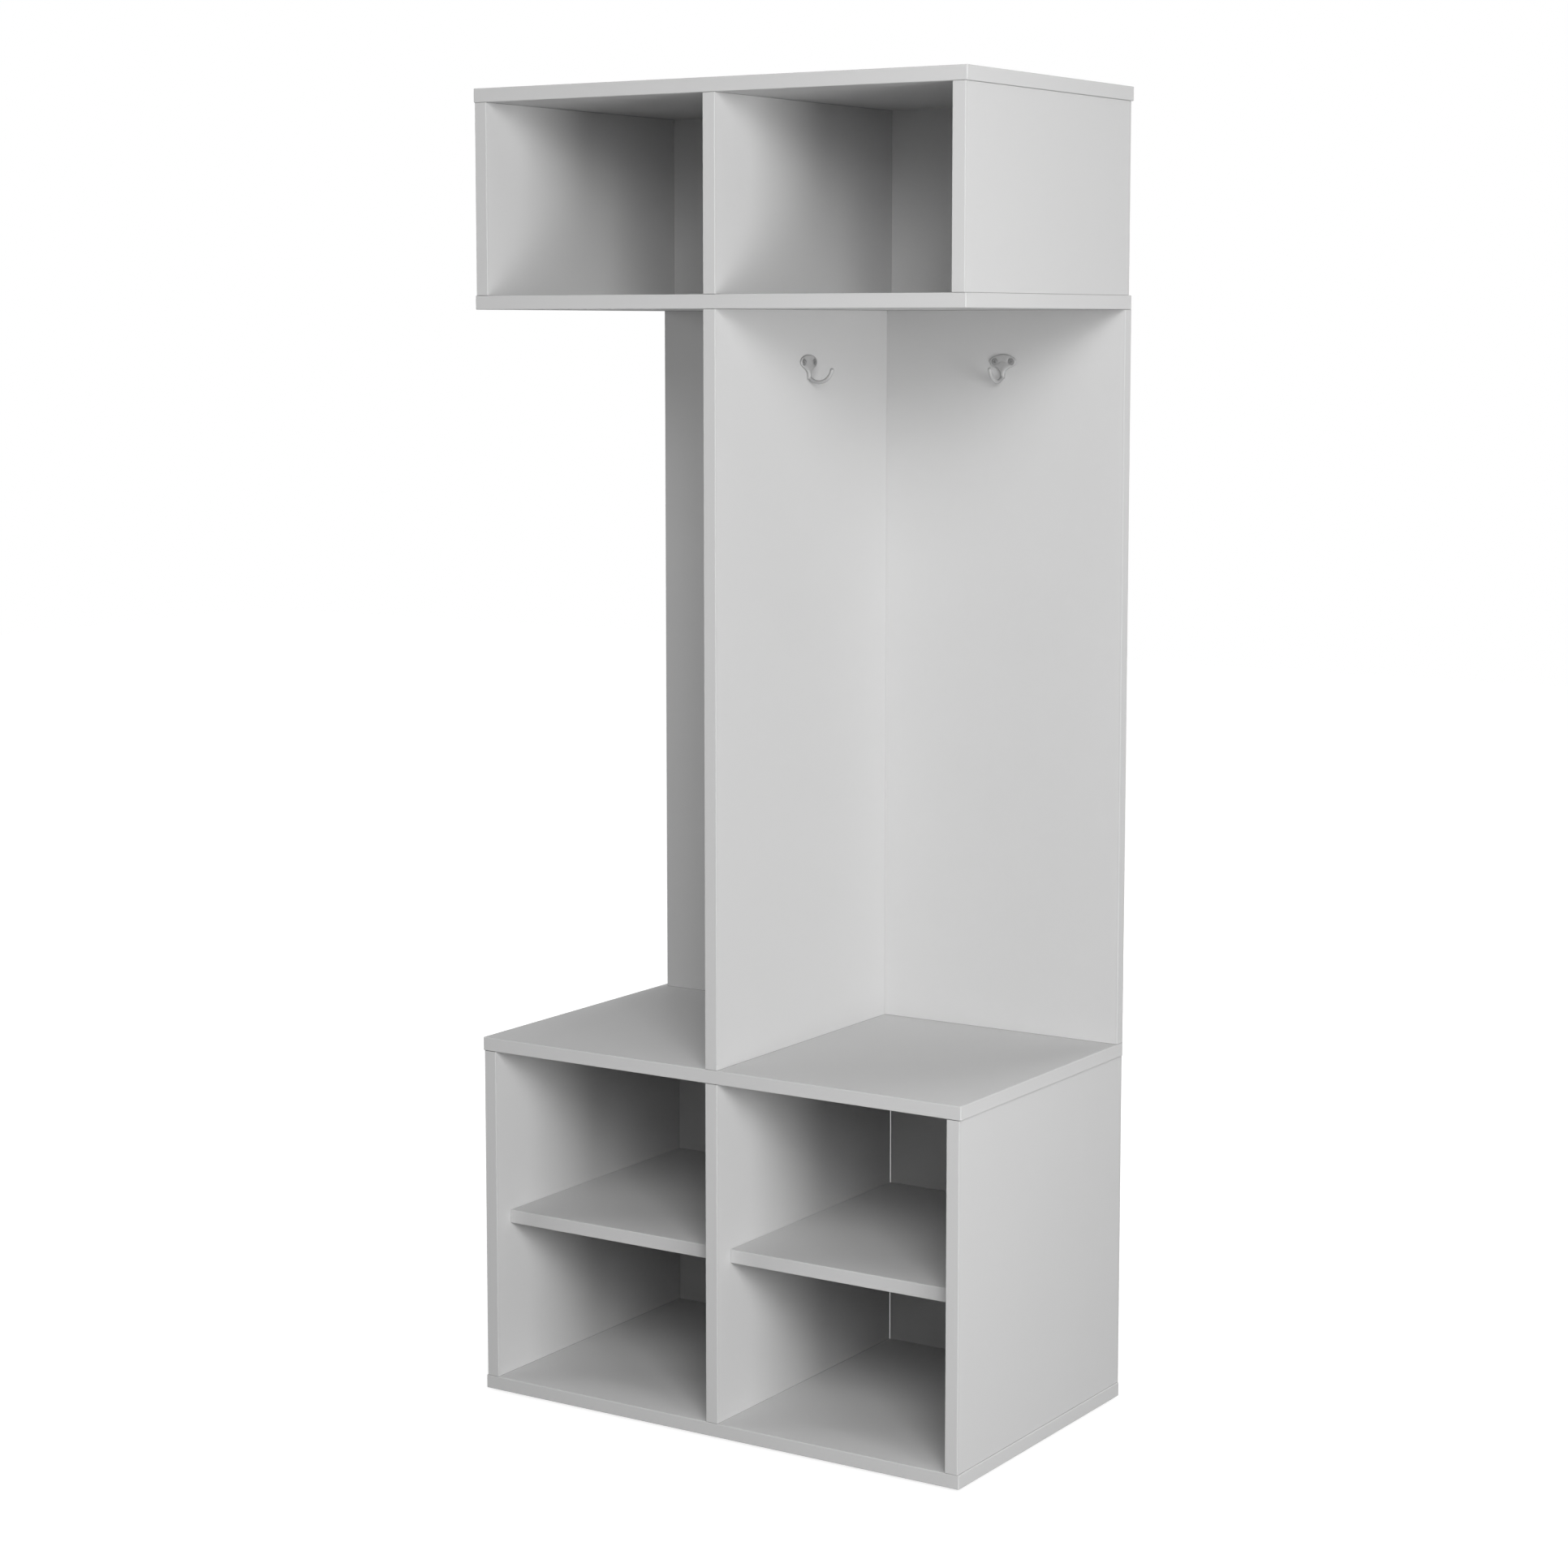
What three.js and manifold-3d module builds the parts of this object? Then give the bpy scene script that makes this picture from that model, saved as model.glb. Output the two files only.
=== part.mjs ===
// Hall tree with coat hooks: a bench with four shoe compartments, an open coat section with a
// divider and a back panel, and a two-bay cupboard on top, built from edged board.
// Lengths are millimetres. +Z is up, the front faces -Y, and the origin is on the floor under the middle.

import * as THREE from "three";
import { mergeVertices } from "three/addons/utils/BufferGeometryUtils.js";
import Module from "manifold-3d";

const manifold = await Module();
manifold.setup();

// Driving dimensions of the cabinet
const overallWidth = 727;
const boardDepth = 427;
const boardThickness = 18;
const lowerClearHeight = 442;
const coatClearHeight = 955;
const cupboardClearHeight = 245;
const glideHeight = 4;

// Board details
const endInset = 2;
const arrisRadius = 1;
const planCornerRadius = 1.4;
const glueLine = 0.1;
const arrisSteps = 2;

// Thin back boards and the thick coat back
const thinBackThickness = 3;
const thinBackEndInset = 0.5;
const upperBackRecess = 2;
const lowerBackLap = 9;
const dividerSlit = 0.4;
const coatBackThickness = 16;
const coatBackLeftInset = 10.5;

// Loose shelves
const shelfSetback = 30;
const shelfUndersideHeight = 204;
const shelfEndClearance = 0.5;
const shelfRearClearance = 1;
const shelfPinClearance = 0.3;

// Shelf pins: an angle with a stud
const pinWidth = 10;
const pinPlateHeight = 15;
const pinMetal = 1.6;
const pinTongueLength = 9;
const pinInnerRadius = 1.4;
const pinStudDiameter = 5;
const pinStudTipGap = 5;
const pinStudChamfer = 0.6;
const pinDepthShares = [0.12, 0.88];

// Dowels glued into the ends of the uprights
const dowelDiameter = 8;
const dowelReach = 11;
const dowelHoleDepth = 12;
const dowelChamfer = 1;
const dowelRoot = 4;
const outerDowelShares = [0.14, 0.5, 0.86];
const innerDowelShares = [0.22, 0.58, 0.78];
const middleDowelShares = [0.5];
const coatBackDowelShares = [0.08, 0.3, 0.7, 0.92];

// Joint screws with a hexagon socket
const jointScrewLength = 50;
const jointScrewShank = 7;
const jointScrewHead = 10;
const jointScrewHeadHeight = 4;
const jointScrewHeadChamfer = 0.5;
const jointScrewTip = 5;
const jointScrewTipDiameter = 3;
const jointScrewSunk = 0.3;
const jointSocketFlats = 4;
const jointSocketDepth = 3;
const jointScrewShares = [0.14, 0.86];
const coatBackScrewShares = [0.1, 0.5, 0.9];

// Coat hooks, cast in one piece
const hookDrop = 67;
const hookPlateWidth = 39;
const hookPlateHeight = 19;
const hookPlateThickness = 2.6;
const hookPlateEdge = 1.1;
const hookScrewSpacing = 24;
const hookNeckShoulderHalf = 15.5;
const hookNeckShoulderDrop = 4.8;
const hookNeckHalf = 3.1;
const hookNeckWaistDrop = 17;
const hookHeelDrop = 22.2;
const hookHeelThickness = 2.4;
const hookNeckThickness = 4.8;
const hookNeckRise = 3;
const hookNeckPullShare = 0.7;
const hookShoulderPullShare = 0.5;
const hookRodDiameter = 5;
const hookArcRadius = 20.3;
const hookArcOut = 16.5;
const hookArcDrop = 5.4;
const hookArcStartDegrees = 219;
const hookArcEndDegrees = 347;
const hookTipDiameter = 5.4;
const hookSeatGap = 0.2;

// Wood screws of the hooks, with a countersunk head and a cross recess
const hookScrewHead = 8.2;
const hookScrewHeadHeight = 2.3;
const hookScrewCrown = 0.5;
const hookScrewShank = 3.4;
const hookScrewTip = 2.5;
const hookScrewTipDiameter = 0.8;
const hookScrewTipGap = 2.4;
const crossLength = 4.6;
const crossWidth = 1;
const crossDepth = 1.5;

// Glides under the base
const glideDiameter = 22;
const glideRim = 1;
const glideStemDiameter = 5;
const glideStemLength = 10;
const glideEndInset = 24;
const glideDepthShares = [0.08, 0.92];

// Shared clearances and working values
const boreClearance = 0.3;
const boreEndClearance = 1;
const overrun = 1;
const roundSides = 12;
const dowelSides = 8;
const jointScrewSides = 8;
const rodSides = 10;
const rodSteps = 12;
const hexSides = 6;
const plateSides = 24;
const plateBevelSteps = 2;
const neckSteps = 4;

// Heights of the boards, worked up from the floor
const baseBottom = glideHeight;
const baseTop = baseBottom + boardThickness;
const lowerFoot = baseTop + glueLine;
const lowerHead = lowerFoot + lowerClearHeight;
const seatBottom = lowerHead + glueLine;
const seatTop = seatBottom + boardThickness;
const coatFoot = seatTop + glueLine;
const coatHead = coatFoot + coatClearHeight;
const floorBottom = coatHead + glueLine;
const floorTop = floorBottom + boardThickness;
const cupboardFoot = floorTop + glueLine;
const cupboardHead = cupboardFoot + cupboardClearHeight;
const topBottom = cupboardHead + glueLine;
const topTop = topBottom + boardThickness;

// Depths, with the thin backs behind the boards and the origin in the middle of both
const overallDepth = boardDepth + glueLine + thinBackThickness;
const frontY = -overallDepth / 2;
const boardRearY = frontY + boardDepth;
const coatBackFrontY = boardRearY - coatBackThickness;
const tallDividerDepth = boardDepth - coatBackThickness - glueLine;
const upperUprightDepth = boardDepth - upperBackRecess - thinBackThickness - glueLine;

// Places across the width
const leftEndX = -overallWidth / 2;
const rightEndX = overallWidth / 2;
const leftSideX = leftEndX + endInset + boardThickness / 2;
const rightSideX = rightEndX - endInset - boardThickness / 2;
const dividerX = 0;
const uprightPlaces = [leftSideX, dividerX, rightSideX];
const dividerLeftFaceX = dividerX - boardThickness / 2;
const dividerRightFaceX = dividerX + boardThickness / 2;
const leftSideInnerX = leftSideX + boardThickness / 2;
const rightSideInnerX = rightSideX - boardThickness / 2;

// Materials
const boardMaterial = new THREE.MeshStandardMaterial({ color: 0xc6c6c5, roughness: 0.55, metalness: 0 });
const backMaterial = new THREE.MeshStandardMaterial({ color: 0xbdbdbc, roughness: 0.7, metalness: 0 });
const hookMaterial = new THREE.MeshStandardMaterial({ color: 0x9c9c9b, roughness: 0.38, metalness: 0.85 });
const screwMaterial = new THREE.MeshStandardMaterial({ color: 0x8f8f8e, roughness: 0.35, metalness: 0.9 });
const glideMaterial = new THREE.MeshStandardMaterial({ color: 0x77777a, roughness: 0.6, metalness: 0 });

// A closed geometry becomes a solid that can be cut and joined.
function solidOf(geometry) {
  const bare = geometry.index ? geometry.toNonIndexed() : geometry.clone();
  bare.deleteAttribute("normal");
  bare.deleteAttribute("uv");
  const merged = mergeVertices(bare);
  const mesh = new manifold.Mesh({
    numProp: 3,
    vertProperties: merged.getAttribute("position").array,
    triVerts: new Uint32Array(merged.index.array),
  });
  return new manifold.Manifold(mesh);
}

// A solid becomes a geometry again.
function geometryOf(solid) {
  const mesh = solid.getMesh();
  const geometry = new THREE.BufferGeometry();
  geometry.setAttribute("position", new THREE.BufferAttribute(mesh.vertProperties, 3));
  geometry.setIndex(new THREE.BufferAttribute(mesh.triVerts, 1));
  geometry.computeVertexNormals();
  return geometry;
}

// A box between two corners.
function boxSolid(low, high) {
  const box = new THREE.BoxGeometry(high[0] - low[0], high[1] - low[1], high[2] - low[2]);
  box.translate((low[0] + high[0]) / 2, (low[1] + high[1]) / 2, (low[2] + high[2]) / 2);
  return solidOf(box);
}

// A turned solid whose profile of [radius, height] points runs up the Z axis.
function turnedSolid(profile, sides) {
  const points = profile.map(([radius, height]) => new THREE.Vector2(radius, height));
  const lathe = new THREE.LatheGeometry(points, sides);
  lathe.rotateX(Math.PI / 2);
  return solidOf(lathe);
}

// A plain round bar from z = 0 up to its length.
function barSolid(diameter, length, sides = roundSides) {
  const radius = diameter / 2;
  return turnedSolid([[0, 0], [radius, 0], [radius, length], [0, length]], sides);
}

// Rounds two corners of a rectangle drawn from (0, 0): those on the side y = 0.
function easedRectangle(width, depth, radius) {
  const shape = new THREE.Shape();
  shape.moveTo(radius, 0);
  shape.lineTo(width - radius, 0);
  shape.absarc(width - radius, radius, radius, -Math.PI / 2, 0, false);
  shape.lineTo(width, depth);
  shape.lineTo(0, depth);
  shape.lineTo(0, radius);
  shape.absarc(radius, radius, radius, Math.PI, Math.PI * 1.5, false);
  return shape;
}

// An upright board: both front arrises rounded, ends and rear cut square.
function uprightSolid(centreX, thickness, front, depth, foot, head) {
  const shape = easedRectangle(thickness, depth, arrisRadius);
  const geometry = new THREE.ExtrudeGeometry(shape, {
    depth: head - foot,
    bevelEnabled: false,
    curveSegments: arrisSteps,
  });
  geometry.translate(centreX - thickness / 2, front, foot);
  return solidOf(geometry);
}

// A lying board of full size: every arris rounded on the front and both ends, the rear cut square.
function lyingSolid(bottom) {
  const shape = easedRectangle(overallWidth, boardDepth + 2 * arrisRadius, planCornerRadius);
  const geometry = new THREE.ExtrudeGeometry(shape, {
    depth: boardThickness - 2 * arrisRadius,
    bevelEnabled: true,
    bevelThickness: arrisRadius,
    bevelSize: arrisRadius,
    bevelOffset: -arrisRadius,
    bevelSegments: arrisSteps,
    curveSegments: arrisSteps,
  });
  geometry.translate(leftEndX, frontY, bottom + arrisRadius);
  const rear = boxSolid(
    [leftEndX - overrun, boardRearY, bottom - overrun],
    [rightEndX + overrun, boardRearY + 2 * arrisRadius + overrun, bottom + boardThickness + overrun],
  );
  return solidOf(geometry).subtract(rear);
}

// Names a solid made in the cabinet's frame and places it as a mesh about its own centre.
function placedMesh(name, solid, centre, material) {
  const geometry = geometryOf(solid);
  geometry.translate(-centre[0], -centre[1], -centre[2]);
  const mesh = new THREE.Mesh(geometry, material);
  mesh.name = name;
  mesh.position.set(...centre);
  return mesh;
}

// Places of fasteners along the depth of an upright, from shares of that depth.
function depthPlaces(shares, depth) {
  return shares.map((share) => frontY + share * depth);
}

// One dowel: its root glued into the board, its reach standing out along +Z or -Z of an end.
function dowelSolid(x, y, endZ, direction) {
  const radius = dowelDiameter / 2;
  const dowel = turnedSolid(
    [
      [0, -dowelRoot],
      [radius, -dowelRoot],
      [radius, dowelReach - dowelChamfer],
      [radius - dowelChamfer, dowelReach],
      [0, dowelReach],
    ],
    dowelSides,
  );
  const turned = direction > 0 ? dowel : dowel.rotate([180, 0, 0]);
  return turned.translate([x, y, endZ]);
}

// The blind hole that takes a dowel, bored into a lying board from its face at faceZ.
function dowelHole(x, y, faceZ, direction) {
  const hole = barSolid(dowelDiameter + 2 * boreClearance, dowelHoleDepth + overrun, dowelSides);
  const turned = direction > 0 ? hole.translate([0, 0, -overrun]) : hole.translate([0, 0, -dowelHoleDepth]);
  return turned.translate([x, y, faceZ]);
}

// A stepped hole for a joint screw, from the face that its head is sunk in, along -Z.
function jointScrewHole() {
  const headRadius = jointScrewHead / 2 + boreClearance;
  const shankRadius = jointScrewShank / 2 + boreClearance;
  const headDepth = jointScrewSunk + jointScrewHeadHeight + boreClearance;
  const end = jointScrewSunk + jointScrewLength + boreEndClearance;
  return turnedSolid(
    [
      [0, -end],
      [shankRadius, -end],
      [shankRadius, -headDepth],
      [headRadius, -headDepth],
      [headRadius, overrun],
      [0, overrun],
    ],
    jointScrewSides,
  );
}

// A joint screw hanging down from z = 0, with its socket open at the top.
function jointScrewSolid() {
  const body = turnedSolid(
    [
      [0, -jointScrewLength],
      [jointScrewTipDiameter / 2, -jointScrewLength],
      [jointScrewShank / 2, jointScrewTip - jointScrewLength],
      [jointScrewShank / 2, -jointScrewHeadHeight],
      [jointScrewHead / 2, -jointScrewHeadHeight],
      [jointScrewHead / 2, -jointScrewHeadChamfer],
      [jointScrewHead / 2 - jointScrewHeadChamfer, 0],
      [0, 0],
    ],
    jointScrewSides,
  );
  const socketDiameter = jointSocketFlats / Math.cos(Math.PI / hexSides);
  const socket = barSolid(socketDiameter, jointSocketDepth + overrun, hexSides);
  return body.subtract(socket.translate([0, 0, -jointSocketDepth]));
}

// Turns of a screw that is drawn hanging down from its head: the head above, below or at the rear
const headUp = [0, 0, 0];
const headDown = [180, 0, 0];
const headRear = [-90, 0, 0];

// The joint screws: two in each upright from above and from below, three through the coat back.
function jointScrewPlaces() {
  const places = [];
  const sideNames = ["left", "middle", "right"];
  const endNames = ["front", "rear"];
  uprightPlaces.forEach((x, i) => {
    depthPlaces(jointScrewShares, upperUprightDepth).forEach((y, j) => {
      const name = `top_screw_${sideNames[i]}_${endNames[j]}`;
      places.push({ name, at: [x, y, topTop], turn: headUp });
    });
    depthPlaces(jointScrewShares, boardDepth).forEach((y, j) => {
      const name = `base_screw_${sideNames[i]}_${endNames[j]}`;
      places.push({ name, at: [x, y, baseBottom], turn: headDown });
    });
  });
  const heightNames = ["low", "middle", "high"];
  coatBackScrewShares.forEach((share, i) => {
    const z = coatFoot + share * coatClearHeight;
    places.push({ name: `coat_back_screw_${heightNames[i]}`, at: [dividerX, boardRearY, z], turn: headRear });
  });
  return places;
}

const jointScrews = jointScrewPlaces();

// The bores of all joint screws whose names start with a word.
function jointScrewBores(word) {
  return jointScrews
    .filter((screw) => screw.name.startsWith(word))
    .map((screw) => jointScrewHole().rotate(screw.turn).translate(screw.at));
}

// Takes every solid of a list away from a solid.
function cutAll(solid, cuts) {
  return cuts.reduce((body, cut) => body.subtract(cut), solid);
}

// Joins every solid of a list to a solid.
function joinAll(solid, pieces) {
  return pieces.reduce((body, piece) => body.add(piece), solid);
}

// Hook places: one hook on each face of the divider, one in each bay's back.
const hookZ = floorBottom - hookDrop;
const hookDividerY = frontY + boardDepth / 2;
const hookScrewReach = (boardThickness - hookScrewTipGap) / 2;
const hooks = [
  {
    name: "divider_hook_right",
    at: [dividerRightFaceX + hookSeatGap, hookDividerY, hookZ],
    turn: Math.PI / 2,
  },
  {
    name: "divider_hook_left",
    at: [dividerLeftFaceX - hookSeatGap, hookDividerY, hookZ],
    turn: -Math.PI / 2,
  },
  {
    name: "back_hook_right",
    at: [(dividerRightFaceX + rightEndX) / 2, coatBackFrontY - hookSeatGap, hookZ],
    turn: 0,
  },
  {
    name: "back_hook_left",
    at: [(dividerLeftFaceX + leftEndX) / 2, coatBackFrontY - hookSeatGap, hookZ],
    turn: 0,
  },
];

// The two screw bores behind each hook whose name starts with a word.
function hookScrewBores(word) {
  const bores = [];
  for (const hook of hooks.filter((one) => one.name.startsWith(word))) {
    for (const side of [-1, 1]) {
      const reach = hookScrewReach + boreClearance;
      const bore = barSolid(hookScrewShank + 2 * boreClearance, reach + overrun, roundSides)
        .rotate([-90, 0, 0])
        .translate([(side * hookScrewSpacing) / 2, hookSeatGap - overrun, 0])
        .rotate([0, 0, THREE.MathUtils.radToDeg(hook.turn)])
        .translate(hook.at);
      bores.push(bore);
    }
  }
  return bores;
}

// Shelf sizes and places
const shelfBottom = lowerFoot + shelfUndersideHeight;
const shelfFrontY = frontY + shelfSetback;
const shelfDepth = boardRearY - shelfRearClearance - shelfFrontY;
const pinStudLength = (boardThickness - pinStudTipGap) / 2;
const pinTopZ = shelfBottom - shelfPinClearance;
const pinStudDrop = pinPlateHeight / 2;

const bays = [
  { side: "left", low: leftSideInnerX, high: dividerLeftFaceX },
  { side: "right", low: dividerRightFaceX, high: rightSideInnerX },
];

// Every shelf pin: which wall it stands in and which way its tongue points.
function shelfPinPlaces() {
  const places = [];
  for (const bay of bays) {
    pinDepthShares.forEach((share, i) => {
      const y = shelfFrontY + share * shelfDepth;
      const end = i === 0 ? "front" : "rear";
      places.push({ name: `shelf_pin_${bay.side}_bay_left_${end}`, wall: bay.low, y, direction: 1 });
      places.push({ name: `shelf_pin_${bay.side}_bay_right_${end}`, wall: bay.high, y, direction: -1 });
    });
  }
  return places;
}

const shelfPins = shelfPinPlaces();

// The bores that the studs of the pins in one upright sit in.
function shelfPinBores(faces) {
  return shelfPins
    .filter((pin) => faces.includes(pin.wall))
    .map((pin) => {
      const length = pinStudLength + boreClearance + overrun;
      const bore = barSolid(pinStudDiameter + 2 * boreClearance, length, dowelSides)
        .rotate([0, pin.direction > 0 ? -90 : 90, 0])
        .translate([pin.wall + pin.direction * overrun, pin.y, pinTopZ - pinStudDrop]);
      return bore;
    });
}

// A lower upright: dowels up into the seat and down into the base, bores for screws and shelf pins.
function lowerUpright(name, x, pinFaces) {
  const board = uprightSolid(x, boardThickness, frontY, boardDepth, lowerFoot, lowerHead);
  const dowels = [
    ...depthPlaces(outerDowelShares, boardDepth).map((y) => dowelSolid(x, y, lowerHead, 1)),
    ...depthPlaces(middleDowelShares, boardDepth).map((y) => dowelSolid(x, y, lowerFoot, -1)),
  ];
  const bores = [...jointScrewBores("base_screw"), ...shelfPinBores(pinFaces)];
  const solid = cutAll(joinAll(board, dowels), bores);
  return placedMesh(name, solid, [x, frontY + boardDepth / 2, (lowerFoot + lowerHead) / 2], boardMaterial);
}

// An upper upright: dowels down into the cupboard floor and up into the top, bores for screws.
function upperUpright(name, x) {
  const board = uprightSolid(x, boardThickness, frontY, upperUprightDepth, cupboardFoot, cupboardHead);
  const dowels = [
    ...depthPlaces(outerDowelShares, upperUprightDepth).map((y) => dowelSolid(x, y, cupboardFoot, -1)),
    ...depthPlaces(middleDowelShares, upperUprightDepth).map((y) => dowelSolid(x, y, cupboardHead, 1)),
  ];
  const solid = cutAll(joinAll(board, dowels), jointScrewBores("top_screw"));
  const centre = [x, frontY + upperUprightDepth / 2, (cupboardFoot + cupboardHead) / 2];
  return placedMesh(name, solid, centre, boardMaterial);
}

// The tall divider between seat and cupboard floor.
function tallDivider() {
  const board = uprightSolid(dividerX, boardThickness, frontY, tallDividerDepth, coatFoot, coatHead);
  const dowels = depthPlaces(innerDowelShares, tallDividerDepth).flatMap((y) => [
    dowelSolid(dividerX, y, coatFoot, -1),
    dowelSolid(dividerX, y, coatHead, 1),
  ]);
  const bores = [...jointScrewBores("coat_back_screw"), ...hookScrewBores("divider_hook")];
  const centre = [dividerX, frontY + tallDividerDepth / 2, (coatFoot + coatHead) / 2];
  return placedMesh("tall_divider", cutAll(joinAll(board, dowels), bores), centre, boardMaterial);
}

// Places of the coat back's dowels along its width
const coatBackWidth = overallWidth - coatBackLeftInset;
const coatBackX = leftEndX + coatBackLeftInset + coatBackWidth / 2;
const coatBackDowelY = coatBackFrontY + coatBackThickness / 2;
const coatBackDowelXs = coatBackDowelShares.map((share) => rightEndX - coatBackWidth + share * coatBackWidth);

// The coat back: front arrises rounded, dowels at both ends, bored for the divider's screws.
function coatBackPanel() {
  const board = uprightSolid(
    coatBackX, coatBackWidth, coatBackFrontY, coatBackThickness, coatFoot, coatHead,
  );
  const dowels = coatBackDowelXs.flatMap((x) => [
    dowelSolid(x, coatBackDowelY, coatFoot, -1),
    dowelSolid(x, coatBackDowelY, coatHead, 1),
  ]);
  const bores = [...jointScrewBores("coat_back_screw"), ...hookScrewBores("back_hook")];
  const centre = [coatBackX, coatBackFrontY + coatBackThickness / 2, (coatFoot + coatHead) / 2];
  return placedMesh("coat_back_panel", cutAll(joinAll(board, dowels), bores), centre, boardMaterial);
}

// Dowel holes in a lying board for the three uprights that meet one of its faces.
function uprightDowelHoles(shares, depth, faceZ, direction) {
  return uprightPlaces.flatMap((x) =>
    depthPlaces(shares, depth).map((y) => dowelHole(x, y, faceZ, direction)),
  );
}

// Dowel holes in a lying board for the tall divider and the coat back.
function coatDowelHoles(faceZ, direction) {
  const divider = depthPlaces(innerDowelShares, tallDividerDepth);
  return [
    ...divider.map((y) => dowelHole(dividerX, y, faceZ, direction)),
    ...coatBackDowelXs.map((x) => dowelHole(x, coatBackDowelY, faceZ, direction)),
  ];
}

function lyingMesh(name, bottom, cuts) {
  const centre = [0, frontY + boardDepth / 2, bottom + boardThickness / 2];
  return placedMesh(name, cutAll(lyingSolid(bottom), cuts), centre, boardMaterial);
}

// Glides stand under the front and the rear of the base, in three rows.
const glideRowXs = [leftEndX + glideEndInset, dividerX, rightEndX - glideEndInset];
const glideYs = depthPlaces(glideDepthShares, boardDepth);

// A glide: a disc with an eased rim and a stem pressed up into the base.
function glideSolid() {
  const radius = glideDiameter / 2;
  const stem = glideStemDiameter / 2;
  return turnedSolid(
    [
      [0, 0],
      [radius - glideRim, 0],
      [radius, glideRim],
      [radius, glideHeight - glueLine],
      [stem, glideHeight - glueLine],
      [stem, glideHeight + glideStemLength],
      [0, glideHeight + glideStemLength],
    ],
    roundSides,
  );
}

// The bores in the base that take the stems of the glides.
function glideBores() {
  const length = glideStemLength + boreEndClearance + overrun;
  return glideRowXs.flatMap((x) =>
    glideYs.map((y) =>
      barSolid(glideStemDiameter + 2 * boreClearance, length).translate([x, y, baseBottom - overrun]),
    ),
  );
}

// A thin back board between two corners in the XZ plane, its front face at a depth.
function thinBack(name, lowX, highX, foot, head, frontFaceY) {
  const solid = boxSolid([lowX, frontFaceY, foot], [highX, frontFaceY + thinBackThickness, head]);
  const centre = [(lowX + highX) / 2, frontFaceY + thinBackThickness / 2, (foot + head) / 2];
  return placedMesh(name, solid, centre, backMaterial);
}

// A loose shelf: both front arrises rounded, ends and rear square, with play all round.
function looseShelf(bay) {
  const width = bay.high - bay.low - 2 * shelfEndClearance;
  const shape = easedRectangle(boardThickness, shelfDepth, arrisRadius);
  const geometry = new THREE.ExtrudeGeometry(shape, {
    depth: width,
    bevelEnabled: false,
    curveSegments: arrisSteps,
  });
  geometry.translate(-boardThickness / 2, -shelfDepth / 2, -width / 2);
  geometry.rotateY(Math.PI / 2);
  const mesh = new THREE.Mesh(geometry, boardMaterial);
  mesh.name = `${bay.side}_shelf`;
  mesh.position.set(
    (bay.low + bay.high) / 2,
    shelfFrontY + shelfDepth / 2,
    shelfBottom + boardThickness / 2,
  );
  return mesh;
}

// A shelf pin: an angle folded from strip, with its tongue along +X and a stud along -X.
function shelfPinGeometry() {
  const shape = new THREE.Shape();
  const inner = pinMetal + pinInnerRadius;
  shape.moveTo(0, -pinPlateHeight);
  shape.lineTo(pinMetal, -pinPlateHeight);
  shape.lineTo(pinMetal, -inner);
  shape.absarc(inner, -inner, pinInnerRadius, Math.PI, Math.PI / 2, true);
  shape.lineTo(pinTongueLength, -pinMetal);
  shape.lineTo(pinTongueLength, 0);
  shape.lineTo(pinMetal, 0);
  shape.absarc(pinMetal, -pinMetal, pinMetal, Math.PI / 2, Math.PI, false);
  shape.lineTo(0, -pinPlateHeight);
  const angle = new THREE.ExtrudeGeometry(shape, {
    depth: pinWidth,
    bevelEnabled: false,
    curveSegments: arrisSteps,
  });
  angle.rotateX(Math.PI / 2);
  angle.translate(0, pinWidth / 2, 0);
  const radius = pinStudDiameter / 2;
  const stud = turnedSolid(
    [
      [0, -pinMetal / 2],
      [radius, -pinMetal / 2],
      [radius, pinStudLength - pinStudChamfer],
      [radius - pinStudChamfer, pinStudLength],
      [0, pinStudLength],
    ],
    dowelSides,
  )
    .rotate([0, -90, 0])
    .translate([0, 0, -pinStudDrop]);
  return geometryOf(solidOf(angle).add(stud));
}

// The eye-shaped plate of a hook, its edge bevelled, its back flat on the plane y = 0.
function hookPlate() {
  const shape = new THREE.Shape();
  shape.absellipse(0, 0, hookPlateWidth / 2, hookPlateHeight / 2, 0, Math.PI * 2, false, 0);
  const geometry = new THREE.ExtrudeGeometry(shape, {
    depth: hookPlateThickness - hookPlateEdge + overrun,
    bevelEnabled: true,
    bevelThickness: hookPlateEdge,
    bevelSize: hookPlateEdge,
    bevelOffset: -hookPlateEdge,
    bevelSegments: plateBevelSteps,
    curveSegments: plateSides / 2,
  });
  geometry.rotateX(Math.PI / 2);
  geometry.translate(0, overrun, 0);
  return solidOf(geometry);
}

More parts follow.
